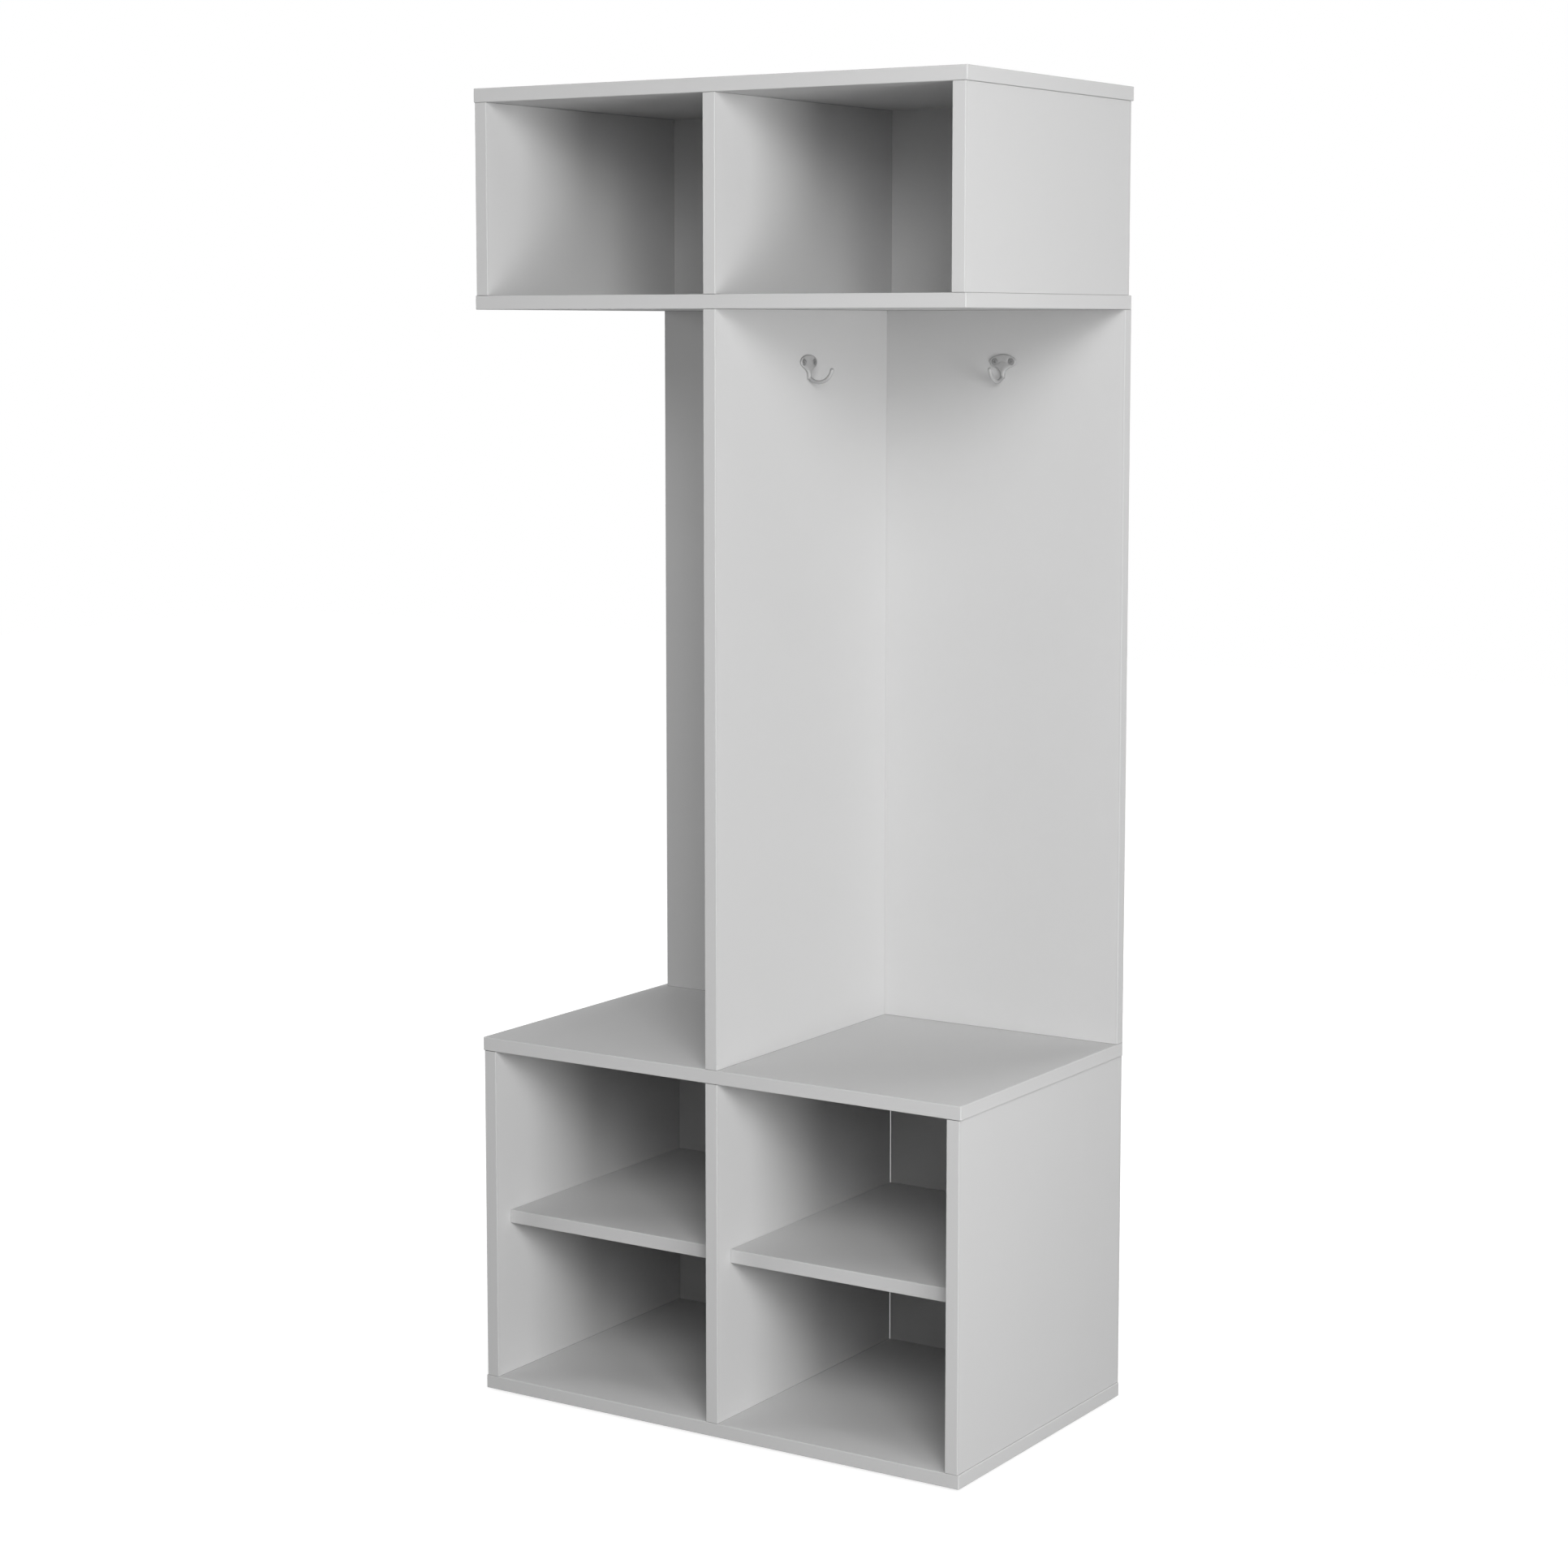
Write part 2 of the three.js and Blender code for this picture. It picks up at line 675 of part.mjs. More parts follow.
// The neck: its outline from the front, drawn in to the waist, kept where its side profile is.
function hookNeck() {
  const shoulderPullX = hookNeckShoulderHalf * hookShoulderPullShare;
  const shoulderPullZ = hookNeckShoulderDrop / hookShoulderPullShare;
  const waistPullZ = hookNeckWaistDrop * hookNeckPullShare;
  const front = new THREE.Shape();
  front.moveTo(-hookNeckShoulderHalf, -hookNeckShoulderDrop);
  front.bezierCurveTo(
    -shoulderPullX, -shoulderPullZ,
    -hookNeckHalf, -waistPullZ,
    -hookNeckHalf, -hookNeckWaistDrop,
  );
  front.lineTo(-hookNeckHalf, -hookHeelDrop);
  front.lineTo(hookNeckHalf, -hookHeelDrop);
  front.lineTo(hookNeckHalf, -hookNeckWaistDrop);
  front.bezierCurveTo(
    hookNeckHalf, -waistPullZ,
    shoulderPullX, -shoulderPullZ,
    hookNeckShoulderHalf, -hookNeckShoulderDrop,
  );
  front.lineTo(0, hookNeckRise);
  front.lineTo(-hookNeckShoulderHalf, -hookNeckShoulderDrop);
  const across = new THREE.ExtrudeGeometry(front, {
    depth: 2 * hookNeckThickness,
    bevelEnabled: false,
    curveSegments: neckSteps,
  });
  across.rotateX(Math.PI / 2);
  const side = new THREE.Shape();
  side.moveTo(0, hookNeckRise + overrun);
  side.lineTo(0, -hookHeelDrop);
  side.lineTo(hookHeelThickness, -hookHeelDrop);
  side.quadraticCurveTo(hookNeckThickness, -hookHeelDrop, hookNeckThickness, -hookNeckWaistDrop);
  side.quadraticCurveTo(
    hookNeckThickness, -hookNeckWaistDrop / 2,
    hookPlateThickness, hookNeckRise,
  );
  side.lineTo(hookPlateThickness, hookNeckRise + overrun);
  side.lineTo(0, hookNeckRise + overrun);
  const along = new THREE.ExtrudeGeometry(side, {
    depth: hookPlateWidth,
    bevelEnabled: false,
    curveSegments: neckSteps,
  });
  along.translate(0, 0, -hookPlateWidth / 2);
  along.rotateX(Math.PI / 2);
  along.rotateZ(-Math.PI / 2);
  return solidOf(across).intersect(solidOf(along));
}

// The centre line of the prong: an arc in the plane square to the wall.
class ProngArc extends THREE.Curve {
  getPoint(t, target = new THREE.Vector3()) {
    const degrees = THREE.MathUtils.lerp(hookArcStartDegrees, hookArcEndDegrees, t);
    const angle = THREE.MathUtils.degToRad(degrees);
    const out = hookArcOut + hookArcRadius * Math.cos(angle);
    return target.set(0, -out, -hookArcDrop + hookArcRadius * Math.sin(angle));
  }
}

// The prong: a round rod swept along its arc, closed by a ball at the tip.
function hookProng() {
  const arc = new ProngArc();
  const section = new THREE.Shape();
  section.absarc(0, 0, hookRodDiameter / 2, 0, Math.PI * 2, false);
  const rod = new THREE.ExtrudeGeometry(section, {
    steps: rodSteps,
    curveSegments: rodSides / 2,
    extrudePath: arc,
  });
  const tip = new THREE.SphereGeometry(hookTipDiameter / 2, rodSides, rodSides / 2);
  const end = arc.getPoint(1);
  tip.translate(end.x, end.y, end.z);
  return solidOf(rod).add(solidOf(tip));
}

// The countersunk hole of a hook screw, through the plate along Y.
function hookScrewHole(x) {
  const head = hookScrewHead / 2 + boreClearance;
  const shank = hookScrewShank / 2 + boreClearance;
  const profile = [
    [0, -overrun],
    [shank, -overrun],
    [shank, hookPlateThickness - hookScrewHeadHeight],
    [head, hookPlateThickness],
    [head, hookNeckThickness + overrun],
    [0, hookNeckThickness + overrun],
  ];
  return turnedSolid(profile, roundSides)
    .rotate([90, 0, 0])
    .translate([x, 0, 0]);
}

// A whole hook casting, with everything behind the wall plane cut away.
function hookGeometry() {
  const behind = boxSolid(
    [-hookPlateWidth, 0, -hookPlateWidth],
    [hookPlateWidth, hookPlateWidth, hookPlateWidth],
  );
  const casting = hookPlate().add(hookNeck()).add(hookProng()).subtract(behind);
  const holes = [-1, 1].map((side) => hookScrewHole((side * hookScrewSpacing) / 2));
  return geometryOf(cutAll(casting, holes));
}

// A hook screw: its head level with the front of the plate, its shank along +Y into the wall.
function hookScrewGeometry() {
  const head = hookScrewHead / 2;
  const shank = hookScrewShank / 2;
  const end = hookSeatGap + hookScrewReach;
  const face = hookPlateThickness;
  const body = turnedSolid(
    [
      [0, -end],
      [hookScrewTipDiameter / 2, -end],
      [shank, hookScrewTip - end],
      [shank, face - hookScrewHeadHeight],
      [head, face],
      [head * Math.SQRT1_2, face + hookScrewCrown * Math.SQRT1_2],
      [0, face + hookScrewCrown],
    ],
    roundSides,
  ).rotate([90, 0, 0]);
  const arms = [
    [crossLength / 2, crossWidth / 2],
    [crossWidth / 2, crossLength / 2],
  ];
  const cross = arms.map(([halfX, halfZ]) =>
    boxSolid(
      [-halfX, -face - hookScrewCrown - overrun, -halfZ],
      [halfX, crossDepth - face - hookScrewCrown, halfZ],
    ),
  );
  return geometryOf(cutAll(body, cross));
}

function namedMesh(name, geometry, material) {
  const mesh = new THREE.Mesh(geometry, material);
  mesh.name = name;
  return mesh;
}

// The lower cabinet: base, uprights, seat and thin backs
function lowerCabinet() {
  const group = new THREE.Group();
  const screwBores = jointScrewBores("base_screw");
  const dowelHoles = uprightDowelHoles(middleDowelShares, boardDepth, baseTop, -1);
  group.add(lyingMesh("base_panel", baseBottom, [...screwBores, ...dowelHoles, ...glideBores()]));
  group.add(lowerUpright("lower_left_side", leftSideX, [leftSideInnerX]));
  group.add(lowerUpright("lower_divider", dividerX, [dividerLeftFaceX, dividerRightFaceX]));
  group.add(lowerUpright("lower_right_side", rightSideX, [rightSideInnerX]));
  const seatHoles = [
    ...uprightDowelHoles(outerDowelShares, boardDepth, seatBottom, 1),
    ...coatDowelHoles(seatTop, -1),
  ];
  group.add(lyingMesh("seat_panel", seatBottom, seatHoles));
  const foot = baseTop - lowerBackLap;
  const head = seatBottom + lowerBackLap;
  const rear = boardRearY + glueLine;
  const outer = endInset + thinBackEndInset;
  group.add(thinBack("lower_back_left", leftEndX + outer, dividerX, foot, head, rear));
  group.add(
    thinBack("lower_back_right", dividerRightFaceX + dividerSlit, rightEndX - outer, foot, head, rear),
  );
  return group;
}

// The coat section: tall divider and coat back
function coatSection() {
  const group = new THREE.Group();
  group.add(tallDivider());
  group.add(coatBackPanel());
  return group;
}

// The cupboard: floor, three uprights, top and thin back
function cupboard() {
  const group = new THREE.Group();
  const floorHoles = [
    ...uprightDowelHoles(outerDowelShares, upperUprightDepth, floorTop, -1),
    ...coatDowelHoles(floorBottom, 1),
  ];
  group.add(lyingMesh("cupboard_floor", floorBottom, floorHoles));
  group.add(upperUpright("upper_left_side", leftSideX));
  group.add(upperUpright("upper_divider", dividerX));
  group.add(upperUpright("upper_right_side", rightSideX));
  const topHoles = [
    ...jointScrewBores("top_screw"),
    ...uprightDowelHoles(middleDowelShares, upperUprightDepth, topBottom, 1),
  ];
  group.add(lyingMesh("top_panel", topBottom, topHoles));
  const rear = frontY + upperUprightDepth + glueLine;
  const outer = endInset + thinBackEndInset;
  group.add(thinBack("upper_back", leftEndX + outer, rightEndX - outer, cupboardFoot, cupboardHead, rear));
  return group;
}

// The four hooks, each with its two screws
function hookSet() {
  const group = new THREE.Group();
  const castingGeometry = hookGeometry();
  const screwGeometry = hookScrewGeometry();
  for (const hook of hooks) {
    const placed = new THREE.Group();
    placed.position.set(...hook.at);
    placed.rotation.z = hook.turn;
    placed.add(namedMesh(hook.name, castingGeometry, hookMaterial));
    for (const [word, side] of [["a", -1], ["b", 1]]) {
      const screw = namedMesh(`${hook.name}_screw_${word}`, screwGeometry, screwMaterial);
      screw.position.x = (side * hookScrewSpacing) / 2;
      placed.add(screw);
    }
    group.add(placed);
  }
  return group;
}

// The joint screws, each sunk a little below the face that it enters
function jointScrewSet() {
  const group = new THREE.Group();
  const geometry = geometryOf(jointScrewSolid());
  for (const screw of jointScrews) {
    const placed = new THREE.Group();
    placed.position.set(...screw.at);
    placed.rotation.x = THREE.MathUtils.degToRad(screw.turn[0]);
    const mesh = namedMesh(screw.name, geometry, screwMaterial);
    mesh.position.z = -jointScrewSunk;
    placed.add(mesh);
    group.add(placed);
  }
  return group;
}

// The two loose shelves on their pins
function shelfSet() {
  const group = new THREE.Group();
  for (const bay of bays) {
    group.add(looseShelf(bay));
  }
  const geometry = shelfPinGeometry();
  for (const pin of shelfPins) {
    const mesh = namedMesh(pin.name, geometry, screwMaterial);
    mesh.position.set(pin.wall + pin.direction * glueLine, pin.y, pinTopZ);
    mesh.rotation.z = pin.direction > 0 ? 0 : Math.PI;
    group.add(mesh);
  }
  return group;
}

// The glides, with their discs on the floor
function glideSet() {
  const group = new THREE.Group();
  const geometry = geometryOf(glideSolid());
  const rowNames = ["left", "middle", "right"];
  const endNames = ["front", "rear"];
  glideRowXs.forEach((x, i) => {
    glideYs.forEach((y, j) => {
      const glide = namedMesh(`glide_${rowNames[i]}_${endNames[j]}`, geometry, glideMaterial);
      glide.position.set(x, y, 0);
      group.add(glide);
    });
  });
  return group;
}

const hallTree = new THREE.Group();
hallTree.add(lowerCabinet());
hallTree.add(coatSection());
hallTree.add(cupboard());
hallTree.add(shelfSet());
hallTree.add(hookSet());
hallTree.add(jointScrewSet());
hallTree.add(glideSet());

export default hallTree;
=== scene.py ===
# %% [markdown]
# # A hall tree with coat hooks
#
# The object is a hall tree: a bench with four shoe bays, an open coat section with a divider
# and a back panel, and a two-bay cupboard on top. It is cut from grey coated board with edge
# bands, and carries four cast hooks. The solid model comes packed, and it is loaded as a
# fixed frame: nothing of it is moved here. The boards get their finish, and the small metal
# parts get finer shapes where an eye or a hand comes close to them.

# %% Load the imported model
import math

import bpy
import numpy as np
from mathutils import Matrix, Vector


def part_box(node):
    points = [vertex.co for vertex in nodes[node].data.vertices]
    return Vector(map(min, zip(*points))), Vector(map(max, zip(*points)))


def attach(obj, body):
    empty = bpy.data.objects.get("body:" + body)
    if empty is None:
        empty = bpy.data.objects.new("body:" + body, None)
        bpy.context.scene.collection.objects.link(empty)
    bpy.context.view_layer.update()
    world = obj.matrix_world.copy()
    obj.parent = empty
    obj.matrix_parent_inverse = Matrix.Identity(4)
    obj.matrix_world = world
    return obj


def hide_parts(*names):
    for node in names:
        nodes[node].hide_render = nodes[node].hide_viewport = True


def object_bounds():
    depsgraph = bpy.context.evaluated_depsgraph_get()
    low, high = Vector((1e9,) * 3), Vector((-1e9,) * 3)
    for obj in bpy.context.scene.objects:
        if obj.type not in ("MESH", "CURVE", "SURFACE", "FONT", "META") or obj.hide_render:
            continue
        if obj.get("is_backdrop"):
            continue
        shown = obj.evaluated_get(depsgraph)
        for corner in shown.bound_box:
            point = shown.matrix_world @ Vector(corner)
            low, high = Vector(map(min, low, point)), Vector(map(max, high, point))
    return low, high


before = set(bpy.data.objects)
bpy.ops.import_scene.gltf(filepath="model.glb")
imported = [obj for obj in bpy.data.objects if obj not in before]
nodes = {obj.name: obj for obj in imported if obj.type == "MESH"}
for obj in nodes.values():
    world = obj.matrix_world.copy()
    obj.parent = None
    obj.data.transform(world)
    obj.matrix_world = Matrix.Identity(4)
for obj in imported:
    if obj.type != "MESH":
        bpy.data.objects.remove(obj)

scene = bpy.context.scene
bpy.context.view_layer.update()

# %% [markdown]
# ## The camera
#
# A camera's place decides the perspective, and its lens only the crop. The place and turn
# were worked out from the corners of the boards. Furniture is often photographed with a level
# camera whose film is shifted, which keeps upright edges parallel. Here most of that is done
# by tilting the camera a little instead, because a large shift would push the object out of
# the frame when the same camera looks from another side.

# %% Place the camera
camera_place = (2.285, -3.590, 1.413)
camera_turn = 32.8
camera_tilt = 6.54

camera_data = bpy.data.cameras.new("photo_camera")
camera_data.sensor_width = 36
camera_data.lens = 75.47
camera_data.shift_y = -0.05
camera = bpy.data.objects.new("photo_camera", camera_data)
camera.location = camera_place
camera.rotation_euler = (math.radians(90 - camera_tilt), 0, math.radians(camera_turn))
scene.collection.objects.link(camera)
scene.camera = camera
print("camera distance", round(Vector(camera_place).length, 3))

# %% [markdown]
# ## The lamps
#
# Product pictures are lit with large soft boxes. A soft box is an area lamp: its size sets
# how soft the shadows are, its distance how fast the light falls off. Each lamp here is given
# the share of full daylight level that it brings to the middle of the object, where a share
# of 1 makes a surface that faces it render about in its written colour. Three boxes share the
# main light, from the right and a little above, so that the bays fade towards their rear
# corners. One hangs over the object, one fills from the left, and one lights the rear. A row
# of the list below holds a name, the turn and the rise in degrees, the distance and the size
# in metres, and the share.

# %% Soft boxes round the object
scene.view_settings.view_transform = "Standard"
object_middle = Vector((0, 0, 0.86))


def soft_box(name, turn, rise, distance, size, share):
    """Square area lamp, turned round the object from its front and raised above its middle."""
    across, up = math.radians(turn), math.radians(rise)
    back = Vector((math.sin(across) * math.cos(up), -math.cos(across) * math.cos(up), math.sin(up)))
    data = bpy.data.lights.new(name, "AREA")
    data.shape = "SQUARE"
    data.size = size
    data.energy = share * (math.pi * distance) ** 2
    lamp = bpy.data.objects.new(name, data)
    lamp.location = object_middle + back * distance
    lamp.rotation_euler = back.to_track_quat("Z", "Y").to_euler()
    scene.collection.objects.link(lamp)


soft_boxes = [
    ("side_box", 64, 0, 3.2, 1.2, 0.47),
    ("front_box", 38, 18, 4.5, 1.8, 0.38),
    ("high_box", 38, 28, 4.5, 1.8, 0.35),
    ("top_box", 0, 89, 2.6, 1.6, 0.27),
    ("left_box", -75, 10, 3.5, 2.4, 0.42),
    ("rear_box", 175, 15, 3.5, 2.4, 0.70),
]
for settings in soft_boxes:
    soft_box(*settings)
print("soft boxes", len(soft_boxes))

# %% [markdown]
# ## The air and the floor
#
# The picture has a pure white background. If that white lit the object too, its bays would
# turn pale, so the world has two strengths: a Light Path node gives white to rays from the
# camera and to reflections, and only a breath of light to what falls on surfaces.

# %% White backdrop and dim air
world = bpy.data.worlds.new("studio_air")
scene.world = world
world.use_nodes = True
air = world.node_tree
air.nodes.clear()


def add_node(tree, kind, **settings):
    """Adds a node of one kind and sets its properties."""
    node = tree.nodes.new(kind)
    for key, value in settings.items():
        setattr(node, key, value)
    return node


def feed(tree, socket, value):
    """Gives a socket either a link from another socket or a plain value."""
    if isinstance(value, bpy.types.NodeSocket):
        tree.links.new(value, socket)
    else:
        socket.default_value = value


def sum_up(tree, operation, first, second=0.0, third=0.0):
    """One Math node on sockets or plain numbers; gives its result socket."""
    node = add_node(tree, "ShaderNodeMath", operation=operation)
    for socket, value in zip(node.inputs, (first, second, third)):
        feed(tree, socket, value)
    return node.outputs[0]


def seen_directly(tree):
    """1 for rays from the camera, for mirror reflections and through glass, otherwise 0."""
    path = add_node(tree, "ShaderNodeLightPath")
    seen = sum_up(tree, "MAXIMUM", path.outputs["Is Camera Ray"], path.outputs["Is Glossy Ray"])
    return sum_up(tree, "MAXIMUM", seen, path.outputs["Is Transmission Ray"])


air_strength = 0.02
backdrop = add_node(air, "ShaderNodeBackground")
feed(air, backdrop.inputs["Color"], (1, 1, 1, 1))
feed(air, backdrop.inputs["Strength"],  # 1 where seen, the air's strength elsewhere
     sum_up(air, "MULTIPLY_ADD", seen_directly(air), 1 - air_strength, air_strength))
air_out = add_node(air, "ShaderNodeOutputWorld")
feed(air, air_out.inputs["Surface"], backdrop.outputs[0])
print("air strength", air_strength)

# %% [markdown]
# The floor is white to the eye as well, and fades into the backdrop with distance, but close
# to the object it keeps a soft shadow. It is a glow plus a plain matt surface: in the light
# the two add up to white, and in the shadow only the glow is left. To the light that bounces
# up from it, the floor is a quiet grey, as in a studio where only the background is lit.

# %% Pale floor with a soft shadow
floor_half = 9.0
glow_near, glow_far = 0.84, 1.0
fade_start, fade_end = 0.6, 2.2
floor_bounce = 0.3


def soft_step(tree, value, low, high, at_low=1.0, at_high=0.0):
    """Smooth passage from one value to another while the input goes from low to high."""
    node = add_node(tree, "ShaderNodeMapRange", interpolation_type="SMOOTHSTEP")
    for socket, entry in zip(node.inputs, (value, low, high, at_low, at_high)):
        feed(tree, socket, entry)
    return node.outputs["Result"]


def grey(level):
    """A neutral colour of one level."""
    return (level, level, level, 1)


floor_mesh = bpy.data.meshes.new("studio_floor")
floor_corners = floor_half * np.array([(-1, -1, 0), (1, -1, 0), (1, 1, 0), (-1, 1, 0)])
floor_mesh.from_pydata(floor_corners.tolist(), [], [(0, 1, 2, 3)])
floor = bpy.data.objects.new("studio_floor", floor_mesh)
scene.collection.objects.link(floor)
floor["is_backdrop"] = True

floor_material = bpy.data.materials.new("studio_floor")
floor_material.use_nodes = True
tree = floor_material.node_tree
tree.nodes.clear()
spot = add_node(tree, "ShaderNodeTexCoord").outputs["Object"]
reach = add_node(tree, "ShaderNodeVectorMath", operation="LENGTH")
feed(tree, reach.inputs[0], spot)
fade = soft_step(tree, reach.outputs["Value"], fade_start, fade_end, glow_near, glow_far)
glow = add_node(tree, "ShaderNodeEmission")
feed(tree, glow.inputs["Strength"], sum_up(tree, "MULTIPLY", fade, seen_directly(tree)))
matt = add_node(tree, "ShaderNodeBsdfDiffuse")
feed(tree, matt.inputs["Color"], grey(floor_bounce))
both = add_node(tree, "ShaderNodeAddShader")
feed(tree, both.inputs[0], glow.outputs[0])
feed(tree, both.inputs[1], matt.outputs[0])
floor_out = add_node(tree, "ShaderNodeOutputMaterial")
feed(tree, floor_out.inputs["Surface"], both.outputs[0])
floor_mesh.materials.append(floor_material)
print("floor", 2 * floor_half, "m square")

# %% [markdown]
# ## The coated board
#
# The boards are chipboard with a grey resin coat. Close up, such a coat isn't smooth: the
# press leaves a fine pearl grain, less than a millimetre across. From further away one only
# sees a satin surface whose gloss drifts a little. The cut edges are closed with a band of
# the same grey, two millimetres thick, glued on and rounded over, so a hairline shows where
# the band meets the coat. A picture of such a coat could be laid on, but it would repeat, and
# it couldn't know where a board ends. So both effects are worked out from the place of each
# point, in node groups that are built once and used on every board.

# %% Pearl grain as a node group
def new_group(name, inputs, outputs):
    """An empty shader node group; inputs and outputs are rows of name and socket kind."""
    group = bpy.data.node_groups.new(name, "ShaderNodeTree")
    for direction, rows in (("INPUT", inputs), ("OUTPUT", outputs)):
        for label, kind in rows:
            group.interface.new_socket(label, in_out=direction, socket_type="NodeSocket" + kind)
    return group, add_node(group, "NodeGroupInput"), add_node(group, "NodeGroupOutput")


def noise(tree, place, scale, detail=2.0, roughness=0.5):
    """Value of a noise texture between 0 and 1, its grain 1/scale metres across."""
    node = add_node(tree, "ShaderNodeTexNoise", noise_dimensions="3D")
    for key, value in (("Vector", place), ("Scale", scale), ("Detail", detail), ("Roughness", roughness)):
        feed(tree, node.inputs[key], value)
    return node.outputs[0]


grain, grain_in, grain_out = new_group(
    "pearl_grain",
    [("Place", "Vector"), ("Grain Size", "Float"), ("Cloud Size", "Float")],
    [("Height", "Float"), ("Cloud", "Float")],
)
place = grain_in.outputs["Place"]
grain_scale = sum_up(grain, "DIVIDE", 1.0, grain_in.outputs["Grain Size"])
cloud_scale = sum_up(grain, "DIVIDE", 1.0, grain_in.outputs["Cloud Size"])
feed(grain, grain_out.inputs["Height"], noise(grain, place, grain_scale, detail=1.0))
feed(grain, grain_out.inputs["Cloud"], noise(grain, place, cloud_scale, detail=4.0, roughness=0.6))
print("group", grain.name)

# %% [markdown]
# The band could be modelled as a strip of its own, but it is flush with the coat and would
# only add faces. As a mask it costs none. Its group needs to know where the board ends. It
# gets the two far corners of the board and the direction of its thickness, and works with
# distances: how far a point is from the nearest cut edge, and how far from the nearest broad
# face. From these come three masks: the band itself, the hairline seam beside it, and the
# rounded corner edge.

# %% Edge band as a node group
coat_skin = 0.0003


def vector_step(tree, operation, first, second):
    """One Vector Math node on sockets or plain vectors."""
    node = add_node(tree, "ShaderNodeVectorMath", operation=operation)
    for socket, value in zip(node.inputs, (first, second)):
        feed(tree, socket, value)
    return node.outputs["Value" if operation == "DOT_PRODUCT" else "Vector"]


band, band_in, band_out = new_group(
    "edge_band",
    [("Place", "Vector"), ("Low Corner", "Vector"), ("High Corner", "Vector"),
     ("Thickness Axis", "Vector"), ("Band Thickness", "Float"), ("Seam Width", "Float"),
     ("Arris Radius", "Float")],
    [("Band", "Float"), ("Seam", "Float"), ("Corner Edge", "Float")],
)
from_low = vector_step(band, "SUBTRACT", band_in.outputs["Place"], band_in.outputs["Low Corner"])
from_high = vector_step(band, "SUBTRACT", band_in.outputs["High Corner"], band_in.outputs["Place"])
nearest = vector_step(band, "MINIMUM", from_low, from_high)
axis = band_in.outputs["Thickness Axis"]
to_face = vector_step(band, "DOT_PRODUCT", nearest, axis)
in_plane = add_node(band, "ShaderNodeSeparateXYZ")
feed(band, in_plane.inputs[0], vector_step(band, "ADD", nearest, axis))
to_edge = sum_up(band, "MINIMUM", in_plane.outputs[0],
                 sum_up(band, "MINIMUM", in_plane.outputs[1], in_plane.outputs[2]))
thickness = band_in.outputs["Band Thickness"]
seam_width = band_in.outputs["Seam Width"]
from_seam = sum_up(band, "ABSOLUTE", sum_up(band, "SUBTRACT", to_edge, thickness))
on_face = soft_step(band, to_face, coat_skin, 2 * coat_skin)
feed(band, band_out.inputs["Band"],
     soft_step(band, to_edge, sum_up(band, "SUBTRACT", thickness, seam_width),
               sum_up(band, "ADD", thickness, seam_width)))
feed(band, band_out.inputs["Seam"],
     sum_up(band, "MULTIPLY", on_face, soft_step(band, from_seam, 0.0, seam_width)))
feed(band, band_out.inputs["Corner Edge"],
     soft_step(band, sum_up(band, "MAXIMUM", to_edge, to_face), 0.0, band_in.outputs["Arris Radius"]))
print("group", band.name)

# %% [markdown]
# An upright board has no bands on its two ends, where it butts against a lying board. The
# shade in that joint is painted as a thin dark line. The solids leave a real gap of a tenth
# of a millimetre there, which is too thin for the camera to see, so a second, smaller group
# draws the painted shade line from the height of a point.

# %% Butt line as a node group
butt, butt_in, butt_out = new_group(
    "butt_line",
    [("Place", "Vector"), ("Foot", "Float"), ("Head", "Float"), ("Width", "Float")],
    [("Line", "Float")],
)
butt_xyz = add_node(butt, "ShaderNodeSeparateXYZ")
feed(butt, butt_xyz.inputs[0], butt_in.outputs["Place"])
from_foot = sum_up(butt, "SUBTRACT", butt_xyz.outputs[2], butt_in.outputs["Foot"])
from_head = sum_up(butt, "SUBTRACT", butt_in.outputs["Head"], butt_xyz.outputs[2])
feed(butt, butt_out.inputs["Line"],
     soft_step(butt, sum_up(butt, "MINIMUM", from_foot, from_head), 0.0, butt_in.outputs["Width"]))
print("group", butt.name)

# %% [markdown]
# A finish is a material: a Principled shader, what varies over the surface fed into its
# sockets, and what is the same everywhere set on them. The helpers below place a node group,
# mix two colours, start a finish, and turn a height into a relief. A relief that is finer
# than the faces of the mesh goes through a Bump node into the shader's Normal.

# %% Helpers for every finish
def use_group(tree, group, **entries):
    """Places a node group in a material and feeds its inputs; underscores stand for blanks."""
    node = add_node(tree, "ShaderNodeGroup", node_tree=group)
    for label, value in entries.items():
        feed(tree, node.inputs[label.replace("_", " ")], value)
    return node.outputs


def blend_colour(tree, share, first, second):
    """Mix of two colours by a share between 0 and 1."""
    node = add_node(tree, "ShaderNodeMix", data_type="RGBA")
    for socket, value in ((node.inputs[0], share), (node.inputs[6], first), (node.inputs[7], second)):
        feed(tree, socket, value)
    return node.outputs[2]


def new_finish(name, **settings):
    """A material with its Principled shader set; gives material, tree, shader and place."""
    material = bpy.data.materials.new(name)
    material.use_nodes = True
    tree = material.node_tree
    shader = tree.nodes["Principled BSDF"]
    for label, value in settings.items():
        shader.inputs[label.replace("_", " ")].default_value = value
    return material, tree, shader, add_node(tree, "ShaderNodeTexCoord").outputs["Object"]


def add_relief(tree, shader, height, depth):
    """Bump node from a height between 0 and 1, with the relief's depth in metres."""
    bump = add_node(tree, "ShaderNodeBump")
    feed(tree, bump.inputs["Strength"], 1.0)
    feed(tree, bump.inputs["Distance"], depth)
    feed(tree, bump.inputs["Height"], height)
    feed(tree, shader.inputs["Normal"], bump.outputs["Normal"])


print("a grey of half the light is", grey(0.5))
